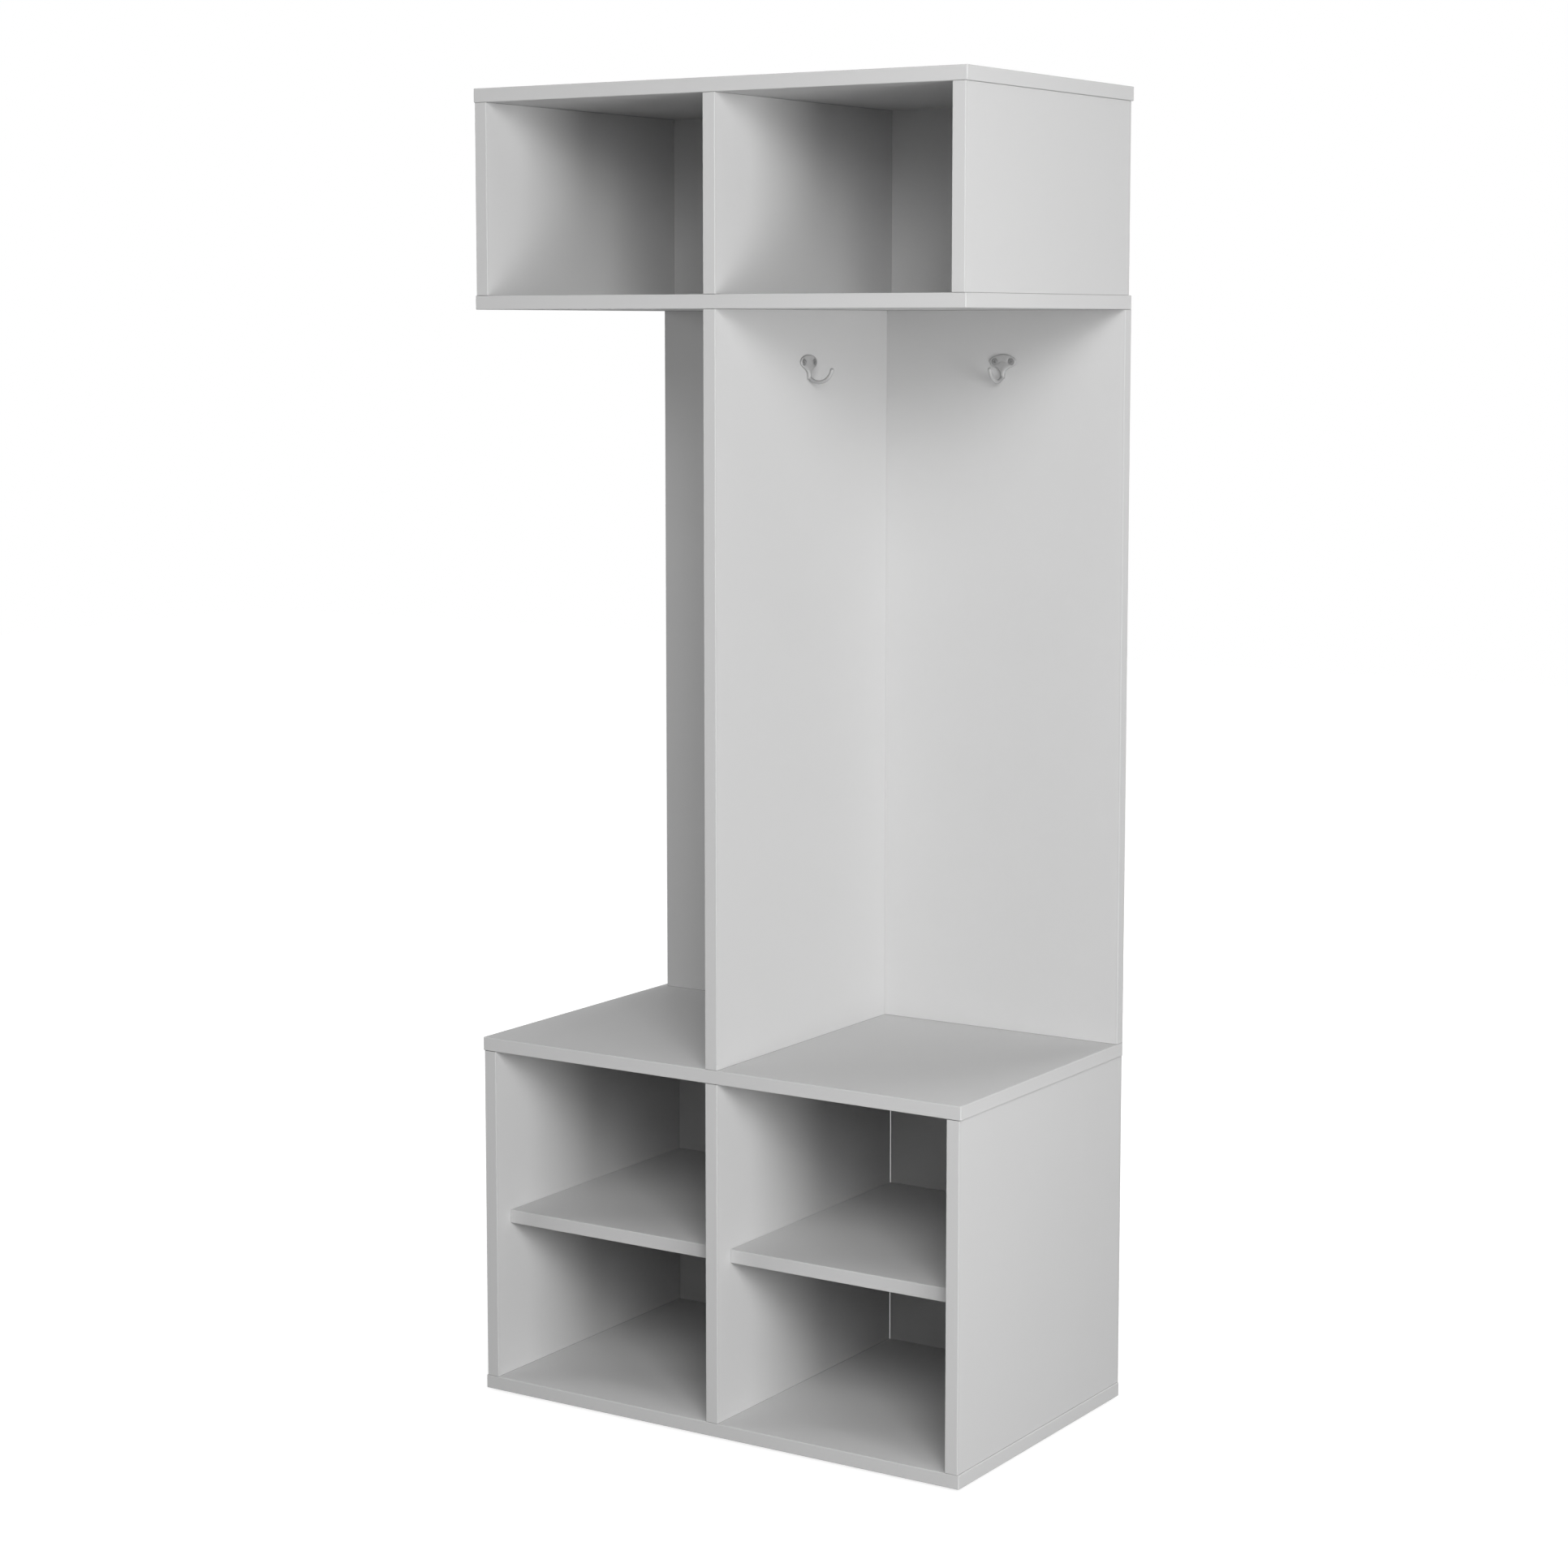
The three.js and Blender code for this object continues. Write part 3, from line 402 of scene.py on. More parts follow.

# %% [markdown]
# Each board gets its own copy of the finish, because each has its own corners. The colour is
# a neutral grey. The cloud of the grain moves it and the gloss by a few hundredths, and the
# seam is a little darker. The rounded corner edge is duller, because the scraper that rounds
# it takes the shine off, and it is darker with painted shade, which tones down the highlight
# that the lamps put on it. In the values below, a share multiplies the board's grey, and a
# rough value is added to the roughness.

# %% The board finish
board_grey, board_shine = 0.56, 0.3
cloud_low_share, cloud_high_share, band_share, seam_share = 0.985, 1.015, 0.985, 0.5
# Two of these shares are painted shade: one darkens the rounded corner edge to tone down its highlight, one
# darkens the butt joints.
arris_shade_share, joint_shade_share, seam_cover = 0.9, 0.2, 0.45
board_rough, cloud_rough, band_rough, arris_rough = 0.58, 0.1, -0.03, 0.2
grain_size, cloud_size = 0.0009, 0.16
band_thickness, seam_width_m, arris_radius = 0.002, 0.00018, 0.001
dowel_reach, butt_line_width = 0.011, 0.0005
board_relief, grain_height, seam_height = 0.00008, 0.35, 0.6
lying, standing, facing = (0, 0, 1), (1, 0, 0), (0, 1, 0)


def board_finish(name, thin_axis):
    """Coated board with its bands, fitted to one board of the frame, with painted shade on its rounded
    corner edges and in its butt joints.
    """
    low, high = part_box(name)
    material, tree, shader, place = new_finish("coated_" + name, Specular_IOR_Level=board_shine)
    pearl = use_group(tree, grain, Place=place, Grain_Size=grain_size, Cloud_Size=cloud_size)
    edge = use_group(tree, band, Place=place, Low_Corner=low, High_Corner=high, Thickness_Axis=thin_axis,
                     Band_Thickness=band_thickness, Seam_Width=seam_width_m, Arris_Radius=arris_radius)
    coat = blend_colour(tree, pearl["Cloud"], grey(board_grey * cloud_low_share),
                        grey(board_grey * cloud_high_share))
    coat = blend_colour(tree, edge["Band"], coat, grey(board_grey * band_share))
    seam = sum_up(tree, "MULTIPLY", edge["Seam"], seam_cover)
    coat = blend_colour(tree, seam, coat, grey(board_grey * seam_share))
    # Painted shade: the rounded corner edge is darkened to tone down the highlight of the lamps.
    coat = blend_colour(tree, edge["Corner Edge"], coat, grey(board_grey * arris_shade_share))
    # Painted shade: a thin dark line where an upright board butts against a lying one.
    if thin_axis != lying:
        ends = use_group(tree, butt, Place=place, Foot=low.z + dowel_reach, Head=high.z - dowel_reach,
                         Width=butt_line_width)
        coat = blend_colour(tree, ends["Line"], coat, grey(board_grey * joint_shade_share))
    feed(tree, shader.inputs["Base Color"], coat)
    gloss = sum_up(tree, "MULTIPLY_ADD", pearl["Cloud"], cloud_rough, board_rough)
    gloss = sum_up(tree, "MULTIPLY_ADD", edge["Band"], band_rough, gloss)
    gloss = sum_up(tree, "MULTIPLY_ADD", edge["Corner Edge"], arris_rough, gloss)
    feed(tree, shader.inputs["Roughness"], gloss)
    relief = sum_up(tree, "MULTIPLY_ADD", pearl["Height"], grain_height, seam_height)
    relief = sum_up(tree, "MULTIPLY_ADD", edge["Seam"], -seam_height, relief)
    add_relief(tree, shader, relief, board_relief)
    return material


print("board grey", board_grey, "roughness", board_rough)

# %% [markdown]
# The finish has to know which way a board is thin: a lying board upwards, a side or a divider
# across, the coat back from front to rear. An upright board's box ends where its dowels end,
# inside its neighbours, so the painted shade line of the joint lies a dowel's reach further in.

# %% Coat the boards
boards = {name: lying for name in
          ("base_panel", "seat_panel", "cupboard_floor", "top_panel", "left_shelf", "right_shelf")}
boards.update({name: standing for name in
               ("lower_left_side", "lower_divider", "lower_right_side", "tall_divider",
                "upper_left_side", "upper_divider", "upper_right_side")})
boards["coat_back_panel"] = facing
for name, thin_axis in boards.items():
    nodes[name].material_slots[0].material = board_finish(name, thin_axis)
print("boards", len(boards))

# %% [markdown]
# ## The thin backs
#
# The backs of the bays are hardboard, three millimetres thick. Its front is lacquered grey.
# Its rear shows the print of the wire screen that the wet fibre was pressed on: small
# square pits in rows. Modelled, the pits would take millions of faces. In a shader they are
# the product of two sine waves across the board, and the fibre between them is a fine noise.

# %% Screen print as a node group
fibre_scale = 260.0
screen, screen_in, screen_out = new_group(
    "screen_print",
    [("Place", "Vector"), ("Pitch", "Float")],
    [("Height", "Float"), ("Fibre", "Float")],
)
screen_xyz = add_node(screen, "ShaderNodeSeparateXYZ")
feed(screen, screen_xyz.inputs[0], screen_in.outputs["Place"])
wave_rate = sum_up(screen, "DIVIDE", 2 * math.pi, screen_in.outputs["Pitch"])
wave_x, wave_z = [
    sum_up(screen, "SINE", sum_up(screen, "MULTIPLY", screen_xyz.outputs[side], wave_rate))
    for side in (0, 2)
]
pits = sum_up(screen, "MULTIPLY_ADD", sum_up(screen, "MULTIPLY", wave_x, wave_z), 0.5, 0.5)
feed(screen, screen_out.inputs["Height"], pits)
fibres = noise(screen, screen_in.outputs["Place"], fibre_scale, detail=4.0, roughness=0.65)
feed(screen, screen_out.inputs["Fibre"], fibres)
print("group", screen.name)

# %% [markdown]
# One board, two skins: the front could be one material and the rear another, each on its own
# faces. Here one material serves both, because the finish can ask how far back a point lies,
# and a mask that is 1 on the rear face passes from the lacquer to the bare fibre.

# %% The thin back finish
back_grey, back_shine = 0.53, 0.4
lacquer_low_share, lacquer_high_share = 0.98, 1.02
fibre_low_share, fibre_high_share = 0.62, 0.98
lacquer_rough, bare_rough = 0.5, 0.3
lacquer_grain_size, lacquer_cloud_size, screen_pitch = 0.0014, 0.12, 0.0016
rear_skin, back_relief, lacquer_height = 0.0002, 0.00015, 0.2


def back_finish(name):
    """Hardboard with a lacquered front and a printed rear, fitted to one thin back."""
    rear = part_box(name)[1].y
    material, tree, shader, place = new_finish("hardboard_" + name, Specular_IOR_Level=back_shine)
    pearl = use_group(tree, grain, Place=place, Grain_Size=lacquer_grain_size,
                      Cloud_Size=lacquer_cloud_size)
    print_marks = use_group(tree, screen, Place=place, Pitch=screen_pitch)
    depth = add_node(tree, "ShaderNodeSeparateXYZ")
    feed(tree, depth.inputs[0], place)
    on_rear = soft_step(tree, depth.outputs[1], rear - 2 * rear_skin, rear - rear_skin, 0.0, 1.0)
    front = blend_colour(tree, pearl["Cloud"], grey(back_grey * lacquer_low_share),
                         grey(back_grey * lacquer_high_share))
    fibre = blend_colour(tree, print_marks["Fibre"], grey(back_grey * fibre_low_share),
                         grey(back_grey * fibre_high_share))
    feed(tree, shader.inputs["Base Color"], blend_colour(tree, on_rear, front, fibre))
    feed(tree, shader.inputs["Roughness"], sum_up(tree, "MULTIPLY_ADD", on_rear, bare_rough, lacquer_rough))
    printed = sum_up(tree, "MULTIPLY", on_rear, print_marks["Height"])
    relief = sum_up(tree, "MULTIPLY_ADD", pearl["Height"], lacquer_height, printed)
    add_relief(tree, shader, relief, back_relief)
    return material


thin_backs = ("lower_back_left", "lower_back_right", "upper_back")
for name in thin_backs:
    nodes[name].material_slots[0].material = back_finish(name)
print("thin backs", len(thin_backs))

# %% [markdown]
# ## The hooks
#
# The hooks are zinc castings: an eye-shaped plate with two countersunk holes, a neck that
# runs out of its lower edge, and a prong that curves forward and up to a rounded tip. A
# casting has no sharp inner corners, because the melt must flow. A sculptor would pull it out
# of one lump, and a boolean union with bevels would leave ragged edges. Here each part is a
# closed surface with a formula, and they are melted together later. All the shapes are stacks
# of rings, so one helper that turns rings into faces serves the hooks, the screws and the
# nails.

# %% Closed surfaces from rings
def rings_to_shell(rings):
    """Closed surface through a stack of rings, an array of ring, point and coordinate.

    Neighbouring rings are joined by four-cornered faces. The first and the last ring are
    closed by a fan of triangles round their middle points.
    """
    count, around = rings.shape[:2]
    middles = np.stack([rings[0].mean(axis=0), rings[-1].mean(axis=0)])
    points = np.concatenate([rings.reshape(-1, 3), middles])
    step = np.arange(around)
    beside = (step + 1) % around
    ring = np.arange(count - 1)[:, None] * around
    walls = np.stack([ring + step, ring + beside, ring + around + beside, ring + around + step], axis=-1)
    last = (count - 1) * around
    foot = np.stack([beside, step, np.full(around, last + around)], axis=-1)
    head = np.stack([last + step, last + beside, np.full(around, last + around + 1)], axis=-1)
    return points, walls.reshape(-1, 4).tolist() + foot.tolist() + head.tolist()


def add_piece(name, points, faces, material):
    """Puts points and faces into a new, smooth shaded mesh object and gives it a finish."""
    mesh = bpy.data.meshes.new(name)
    mesh.from_pydata(points.tolist(), [], faces)
    mesh.polygons.foreach_set("use_smooth", np.full(len(mesh.polygons), True))
    mesh.materials.append(material)
    piece = bpy.data.objects.new(name, mesh)
    scene.collection.objects.link(piece)
    return piece


mm = 0.001
print("one unit in the hook's formulas is", mm, "m")

# %% [markdown]
# In the formulas of the hook, x runs across the plate, y points into the wall, and z up. The
# plate is a profile carried round an ellipse: up its back, over a rounded rim, and in again
# over a slightly crowned front. Two cones are pressed into the front for the screw heads.

# %% The plate of the hook
plate_wide, plate_high, plate_thick, plate_rim, plate_crown = 39.0, 19.0, 2.6, 1.1, 0.35
screw_apart, head_radius, cone_gap, cone_slope, cone_depth = 24.0, 4.1, 0.7, 0.96, 1.9
back_rings, rim_rings, front_rings = 12, 9, 40
back_middle_share, front_middle_share = 0.02, 0.01


def hook_plate(around=180):
    """Eye-shaped plate.

    A point at the share s of the way out and the angle a lies at x = s times half the width
    times cos a, z = s times half the height times sin a. Its distance from the wall follows
    a quarter circle at the rim and a flat dome on the front, less the depth of the cones.
    """
    angle = np.linspace(0, 2 * np.pi, around, endpoint=False)
    quarter = np.linspace(0, np.pi / 2, rim_rings)
    rim = plate_rim / (plate_high / 2)
    share = np.concatenate([np.linspace(back_middle_share, 1, back_rings),
                            1 - rim * (1 - np.cos(quarter)),
                            np.linspace(1 - rim, front_middle_share, front_rings)[1:]])
    out = np.concatenate([np.zeros(back_rings), plate_thick - plate_rim * (1 - np.sin(quarter)),
                          np.full(front_rings - 1, plate_thick)])
    x = plate_wide / 2 * share[:, None] * np.cos(angle)
    z = plate_high / 2 * share[:, None] * np.sin(angle)
    crown = np.where(out[:, None] >= plate_thick, plate_crown * (1 - share[:, None] ** 2), 0)
    from_screw = np.hypot(np.abs(x) - screw_apart / 2, z)
    cone = np.clip((head_radius + cone_gap - from_screw) * cone_slope, 0, cone_depth)
    front = np.arange(len(share))[:, None] >= back_rings + rim_rings
    y = -(out[:, None] + crown - np.where(front, cone, 0))
    return rings_to_shell(np.stack([x, y, z], axis=-1))


plate_points, plate_faces = hook_plate()
print("plate", len(plate_faces), "faces")

# %% [markdown]
# The neck carries the load from the plate to the prong. It is broad where it leaves the plate
# and drawn in to a waist. It gets thicker down to the waist, and thins out again to the heel.
# The two outlines, seen from the front and from the side, are smooth curves that a few points
# pull into shape. Where the curves are known, a ring at every height is all the neck needs.

# %% The neck of the hook
neck_top, waist, heel = 3.0, -17.0, -22.2
shoulder_half, shoulder_drop, waist_half, neck_thick, heel_thick = 15.5, 4.8, 3.1, 4.8, 2.4
neck_top_half, top_ring_drop, front_power, wall_points = 0.5, 0.2, 0.55, 16
heel_share, waist_pull_share, shoulder_pull_share = 0.8, 0.7, 0.5


def bezier(*pulls, steps=60):
    """Points of a curve through the first and the last of three or four pulls."""
    t = np.linspace(0, 1, steps)[:, None]
    pulls = np.array(pulls, float)
    while len(pulls.shape) < 3:
        pulls = pulls[:, None, :]
    while len(pulls) > 1:
        pulls = (1 - t) * pulls[:-1] + t * pulls[1:]
    return pulls[0]


def hook_neck(levels=64):
    """Neck from the plate to the heel, as a stack of level rings.

    At each height the half width and the depth are read off two curves. A ring is a flat
    line on the wall and a rounded front: x goes with the cosine of the angle, and the
    distance from the wall with a power of its sine that is below one, which squares it up.
    """
    height = np.linspace(heel, neck_top - top_ring_drop, levels)
    outline = bezier((waist_half, waist), (waist_half, waist * waist_pull_share),
                     (shoulder_half * shoulder_pull_share, -shoulder_drop * 2),
                     (shoulder_half, -shoulder_drop))
    half = np.interp(height, np.r_[heel, outline[:, 1], neck_top],
                     np.r_[waist_half * heel_share, outline[:, 0], neck_top_half])
    foot = bezier((heel_thick, heel), (neck_thick, heel), (neck_thick, waist))
    face = bezier((neck_thick, waist), (neck_thick, waist / 2), (plate_thick, neck_top))
    deep = np.interp(height, np.r_[foot[:, 1], face[1:, 1]], np.r_[foot[:, 0], face[1:, 0]])
    angle = np.linspace(0, np.pi, 2 * wall_points + 1)
    x = np.r_[np.cos(angle), np.linspace(-1, 1, wall_points + 2)[1:-1]]
    bulge = np.r_[np.sin(angle) ** front_power, np.zeros(wall_points)]
    rings = np.stack([half[:, None] * x, -deep[:, None] * bulge,
                      np.repeat(height[:, None], len(x), axis=1)], axis=-1)
    return rings_to_shell(rings[:, ::-1])


neck_points, neck_faces = hook_neck()
print("neck", len(neck_faces), "faces")

# %% [markdown]
# The prong is a round rod whose centre follows an arc of a circle, seen from the side. A
# curve object with a bevel would give a rod as well, but not its tip. So the tube is made
# by a circle in the plane across the path at each step. Near the end its radius swells a
# little, and past the end of the arc it follows a quarter circle down to almost nothing.

# %% The prong of the hook
rod_radius, tip_radius, arc_radius, arc_out, arc_drop = 2.5, 2.7, 20.3, 16.5, 5.4
arc_start, arc_end = 219.0, 347.0
swell_reach, least_radius, tip_steps = 3.0, 0.02, 12


def hook_prong(around=36, steps=72):
    """Rod along the arc: centre plus radius times (cosine across the bend, sine sideways)."""
    turn = np.radians(np.r_[np.linspace(arc_start, arc_end, steps), np.full(tip_steps, arc_end)])
    past = tip_radius * np.r_[np.zeros(steps), np.sin(np.linspace(0, np.pi / 2, tip_steps + 1)[1:])]
    left = arc_radius * (turn[steps - 1] - turn)
    swell = rod_radius + (tip_radius - rod_radius) * np.exp(-(left / swell_reach) ** 2)
    tip = np.sqrt(np.maximum(tip_radius ** 2 - past ** 2, least_radius ** 2))
    radius = np.where(past > 0, tip, swell)
    centre = np.stack([0 * turn, -(arc_out + arc_radius * np.cos(turn)),
                       -arc_drop + arc_radius * np.sin(turn)], axis=-1)
    along = np.stack([0 * turn, np.sin(turn), np.cos(turn)], axis=-1)
    inward = np.stack([0 * turn, -np.cos(turn), np.sin(turn)], axis=-1)
    centre = centre + past[:, None] * along
    angle = np.linspace(0, 2 * np.pi, around, endpoint=False)[:, None]
    rings = centre[:, None] + radius[:, None, None] * (
        np.cos(angle) * inward[:, None] + np.sin(angle) * np.array([1.0, 0, 0]))
    rings[..., 1] = np.minimum(rings[..., 1], 0)
    return rings_to_shell(rings)


prong_points, prong_faces = hook_prong()
print("prong", len(prong_faces), "faces")

# %% [markdown]
# ## The metals
#
# A metal is a mirror, so its finish is mostly roughness. The nickel on a blasted casting is
# satin: the roughness is high and drifts, fine pits catch the light, and a few broken
# hairlines, where something scraped along it, are a little smoother and paler. They are the
# contour lines of a noise, kept only in patches.

# %% Metal skin as a node group
hairline_width, patch_scale_share = 0.015, 0.7
patch_low, patch_high = 0.5, 0.6
skin, skin_in, skin_out = new_group(
    "metal_skin",
    [("Place", "Vector"), ("Pit Size", "Float"), ("Stain Size", "Float")],
    [("Pits", "Float"), ("Stain", "Float"), ("Scuff", "Float")],
)
place = skin_in.outputs["Place"]
pit_scale = sum_up(skin, "DIVIDE", 1.0, skin_in.outputs["Pit Size"])
stain_scale = sum_up(skin, "DIVIDE", 1.0, skin_in.outputs["Stain Size"])
feed(skin, skin_out.inputs["Pits"], noise(skin, place, pit_scale, detail=2.0))
feed(skin, skin_out.inputs["Stain"], noise(skin, place, stain_scale, detail=5.0, roughness=0.62))
wander = sum_up(skin, "SUBTRACT", noise(skin, place, stain_scale, detail=1.0), 0.5)
hairline = soft_step(skin, sum_up(skin, "ABSOLUTE", wander), 0.0, hairline_width)
worn = noise(skin, place, sum_up(skin, "MULTIPLY", stain_scale, patch_scale_share), detail=0.0)
worn = soft_step(skin, worn, patch_low, patch_high, at_low=0.0, at_high=1.0)
feed(skin, skin_out.inputs["Scuff"], sum_up(skin, "MULTIPLY", hairline, worn))
print("group", skin.name)

# %% [markdown]
# A satin metal looks darker where it turns away from the eye, which draws a soft outline round
# the prong. In the Principled shader that is the Specular Tint of a metal. One function with a
# few values makes the nickel of the hooks, the dark steel of their screws, and the bright zinc
# of the joint screws, the pins and the nails, so that the three stay of one family.

# %% Three metals
stain_rough, scuff_cover, scuff_share, scuff_rough = 0.2, 0.2, 1.3, -0.05
metal_relief = 0.00003


def metal_finish(name, tone, rough, rim=1.0, stain_size=0.008, pit_size=0.0006, drift=0.12):
    """Bare or plated metal with a drifting gloss, fine pits and a few scuffs.

    The tone is its grey, the rim the share of light that it throws back where it is seen at
    a flat angle, and the drift the share by which stains change the tone.
    """
    material, tree, shader, place = new_finish(name, Metallic=1.0, Specular_Tint=grey(rim))
    marks = use_group(tree, skin, Place=place, Pit_Size=pit_size, Stain_Size=stain_size)
    metal = blend_colour(tree, marks["Stain"], grey(tone * (1 - drift)), grey(tone * (1 + drift)))
    scuff = sum_up(tree, "MULTIPLY", marks["Scuff"], scuff_cover)
    metal = blend_colour(tree, scuff, metal, grey(tone * scuff_share))
    feed(tree, shader.inputs["Base Color"], metal)
    gloss = sum_up(tree, "MULTIPLY_ADD", marks["Stain"], stain_rough, rough - stain_rough / 2)
    gloss = sum_up(tree, "MULTIPLY_ADD", marks["Scuff"], scuff_rough, gloss)
    feed(tree, shader.inputs["Roughness"], gloss)
    add_relief(tree, shader, marks["Pits"], metal_relief)
    return material


satin_nickel = metal_finish("satin_nickel", 0.49, 0.80, rim=0.1)
dark_steel = metal_finish("dark_screw_steel", 0.32, 0.55, rim=0.3, stain_size=0.003)
bright_zinc = metal_finish("bright_zinc", 0.47, 0.42, stain_size=0.004)
print("metals", satin_nickel.name, dark_steel.name, bright_zinc.name)

# %% [markdown]
# ## Casting the hook
#
# Plate, neck and prong still pass through each other. A voxel remesh lays one closed skin
# round all three, as if they were filled with melt, and drops what is inside. Its skin is
# stepped, so a smoothing modifier relaxes it, which also leaves a fillet wherever two parts
# meet. The finer the voxels, the sharper the rim of the plate and the more faces there are.

# %% Cast the hook in one piece
voxel = 0.42


def cast_together(name, shells, voxel_size, relax=9):
    """One skin round several overlapping closed surfaces, its inner corners relaxed."""
    counts = np.cumsum([0] + [len(points) for points, _ in shells])
    points = np.concatenate([points for points, _ in shells])
    faces = [[corner + first for corner in face]
             for first, (_, part) in zip(counts, shells) for face in part]
    rough = add_piece(name + "_pattern", points, faces, satin_nickel)
    melt = rough.modifiers.new("melt", "REMESH")
    melt.mode = "VOXEL"
    melt.voxel_size = voxel_size
    melt.use_smooth_shade = True
    calm = rough.modifiers.new("calm", "SMOOTH")
    calm.factor = 0.5
    calm.iterations = relax
    graph = bpy.context.evaluated_depsgraph_get()
    mesh = bpy.data.meshes.new_from_object(rough.evaluated_get(graph))
    bpy.data.objects.remove(rough)
    mesh.name = name
    return mesh


hook_mesh = cast_together(
    "hook_casting",
    [(plate_points, plate_faces), (neck_points, neck_faces), (prong_points, prong_faces)],
    voxel,
)
print("casting", len(hook_mesh.polygons), "faces")

# %% [markdown]
# The finished casting is copied to its four places. A copy is turned and moved in its mesh,
# not by its object, because the object's own place has to stay at the origin. Where a hook
# sits is read off the box of the solid hook that it stands for.

# %% Hang the four hooks
hook_turns = {
    "divider_hook_right": 90,
    "divider_hook_left": -90,
    "back_hook_right": 0,
    "back_hook_left": 0,
}


def hook_seat(name, turn):
    """Matrix that brings a hook from its formulas, in millimetres, to its place in metres."""
    low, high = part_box(name)
    outward = Vector((math.sin(math.radians(turn)), -math.cos(math.radians(turn)), 0))
    reach = abs((high - low).dot(outward))
    seat = (low + high) / 2 - outward * reach / 2
    seat.z = high.z - plate_high / 2 * mm
    return Matrix.Translation(seat) @ Matrix.Rotation(math.radians(turn), 4, "Z") @ Matrix.Scale(mm, 4)


def ride_in_place(piece, node, body):
    """The piece stands for one solid node, which it hides, and moves with its body."""
    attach(piece, body)
    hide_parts(node)


for name, turn in hook_turns.items():
    mesh = hook_mesh.copy()
    mesh.transform(hook_seat(name, turn))
    mesh.materials.clear()
    mesh.materials.append(satin_nickel)
    hook = bpy.data.objects.new(name + "_cast", mesh)
    scene.collection.objects.link(hook)
    ride_in_place(hook, name, "cabinet")
print("hooks", len(hook_turns))

# %% [markdown]
# ## The screws
#
# A screw is a turned part, so its skin is a profile carried round an axis. The recess for
# the driver isn't turned. It could be cut with a boolean, but it can also be a height taken
# off the head, which keeps the rings whole: for every point of the head, a mask says how
# deep the cross or the hexagon is there. The rings of the head have to lie close together
# for that, and the walls of the recess lean a little.

# %% Recess shapes
def ease(value, width):
    """0 below nothing, 1 above the width, smooth in between."""
    share = np.clip(value / width, 0, 1)
    return share * share * (3 - 2 * share)


def cross_recess(x, z, length=2.4, half_width=0.55, depth=1.5, side_lean=0.25, end_lean=0.3):
    """Depth of a cross: the larger of two crossed bars, shallower towards their ends."""
    across = ease(half_width - np.abs(x), side_lean) * ease(length - np.abs(z), end_lean)
    upright = ease(half_width - np.abs(z), side_lean) * ease(length - np.abs(x), end_lean)
    return depth * np.maximum(across, upright) * (1 - np.hypot(x, z) / (2 * length))


def hexagon_recess(x, z, half_flats=2.0, depth=2.2, lean=0.2):
    """Depth of a hexagon: a point is inside where it is nearer than the flats in three directions."""
    directions = np.radians([0, 60, 120])[:, None, None]
    farthest = np.abs(x * np.cos(directions) + z * np.sin(directions)).max(axis=0)
    return depth * ease(half_flats - farthest, lean)


print("cross depth at the middle", cross_recess(np.zeros(1), np.zeros(1)))

# %% [markdown]
# The wood screw of a hook has a cone under its head, which sits in the countersink of the
# plate. Its thread is hidden in the board, so a plain shank with a point stands for it. No
# two screws stop at the same angle when they are driven tight, so each has a twist of its own.

# %% Turned screws
head_middle_share = 0.02


def turned_screw(profile, recess, twist, crown=0.0, around=84, head_rings=30):
    """Screw on the axis -y, from its point to its head.

    The profile is a list of (radius, distance along the axis). After it, the head is
    closed by rings of shrinking radius on a flat dome, less the depth of the recess.
    """
    radius = np.array([row[0] for row in profile], float)
    out = np.array([row[1] for row in profile], float)
    shrink = np.linspace(1, head_middle_share, head_rings)[1:]
    radius = np.r_[radius, radius[-1] * shrink]
    out = np.r_[out, out[-1] + crown * (1 - shrink ** 2)]
    angle = np.linspace(0, 2 * np.pi, around, endpoint=False)
    x, z = radius[:, None] * np.cos(angle), radius[:, None] * np.sin(angle)
    turned_x = x * math.cos(twist) + z * math.sin(twist)
    turned_z = z * math.cos(twist) - x * math.sin(twist)
    cut = recess(turned_x, turned_z)
    cut[:len(profile)] = 0
    y = -(out[:, None] - cut)
    return rings_to_shell(np.stack([x, y, z], axis=-1))


shank_radius, wood_screw_length, head_crown = 1.7, 8.0, 0.42
wood_screw = [(0.4, -wood_screw_length), (1.2, -6.6), (shank_radius, -5.6), (shank_radius, 0.3),
              (4.0, 2.5), (head_radius, plate_thick), (head_radius, 2.68)]
twists = np.radians([8, 37, 71, 22, 55, 83, 14, 46])
print("screw profile", len(wood_screw), "steps")

# %% [markdown]
# A hook's screws sit to the left and right of its middle, so they go to their places with the
# same matrix as the hook, after a step to the side. The mesh is turned and moved, and the
# object stays at the origin.

# %% Drive the hook screws
for index, (name, turn) in enumerate(hook_turns.items()):
    for side, word in ((-1, "a"), (1, "b")):
        twist = twists[2 * index + (side > 0)]
        points, faces = turned_screw(wood_screw, cross_recess, twist, crown=head_crown)
        piece = add_piece(f"{name}_screw_{word}_turned", points, faces, dark_steel)
        shift = Matrix.Translation((side * screw_apart / 2, 0, 0))
        piece.data.transform(hook_seat(name, turn) @ shift)
        ride_in_place(piece, f"{name}_screw_{word}", "cabinet")
print("hook screws", 2 * len(hook_turns))

# %% [markdown]
# The joint screws hold the boards from outside faces that one seldom sees: through the top,
# the base and the rear of the coat back. Their flat heads are sunk just below the surface.
# They are zinc plated, with a hexagon socket. Each lies along the axis of its own solid, so
# its place is read off that solid's box, and the first word of the name says which way it
# has to turn.

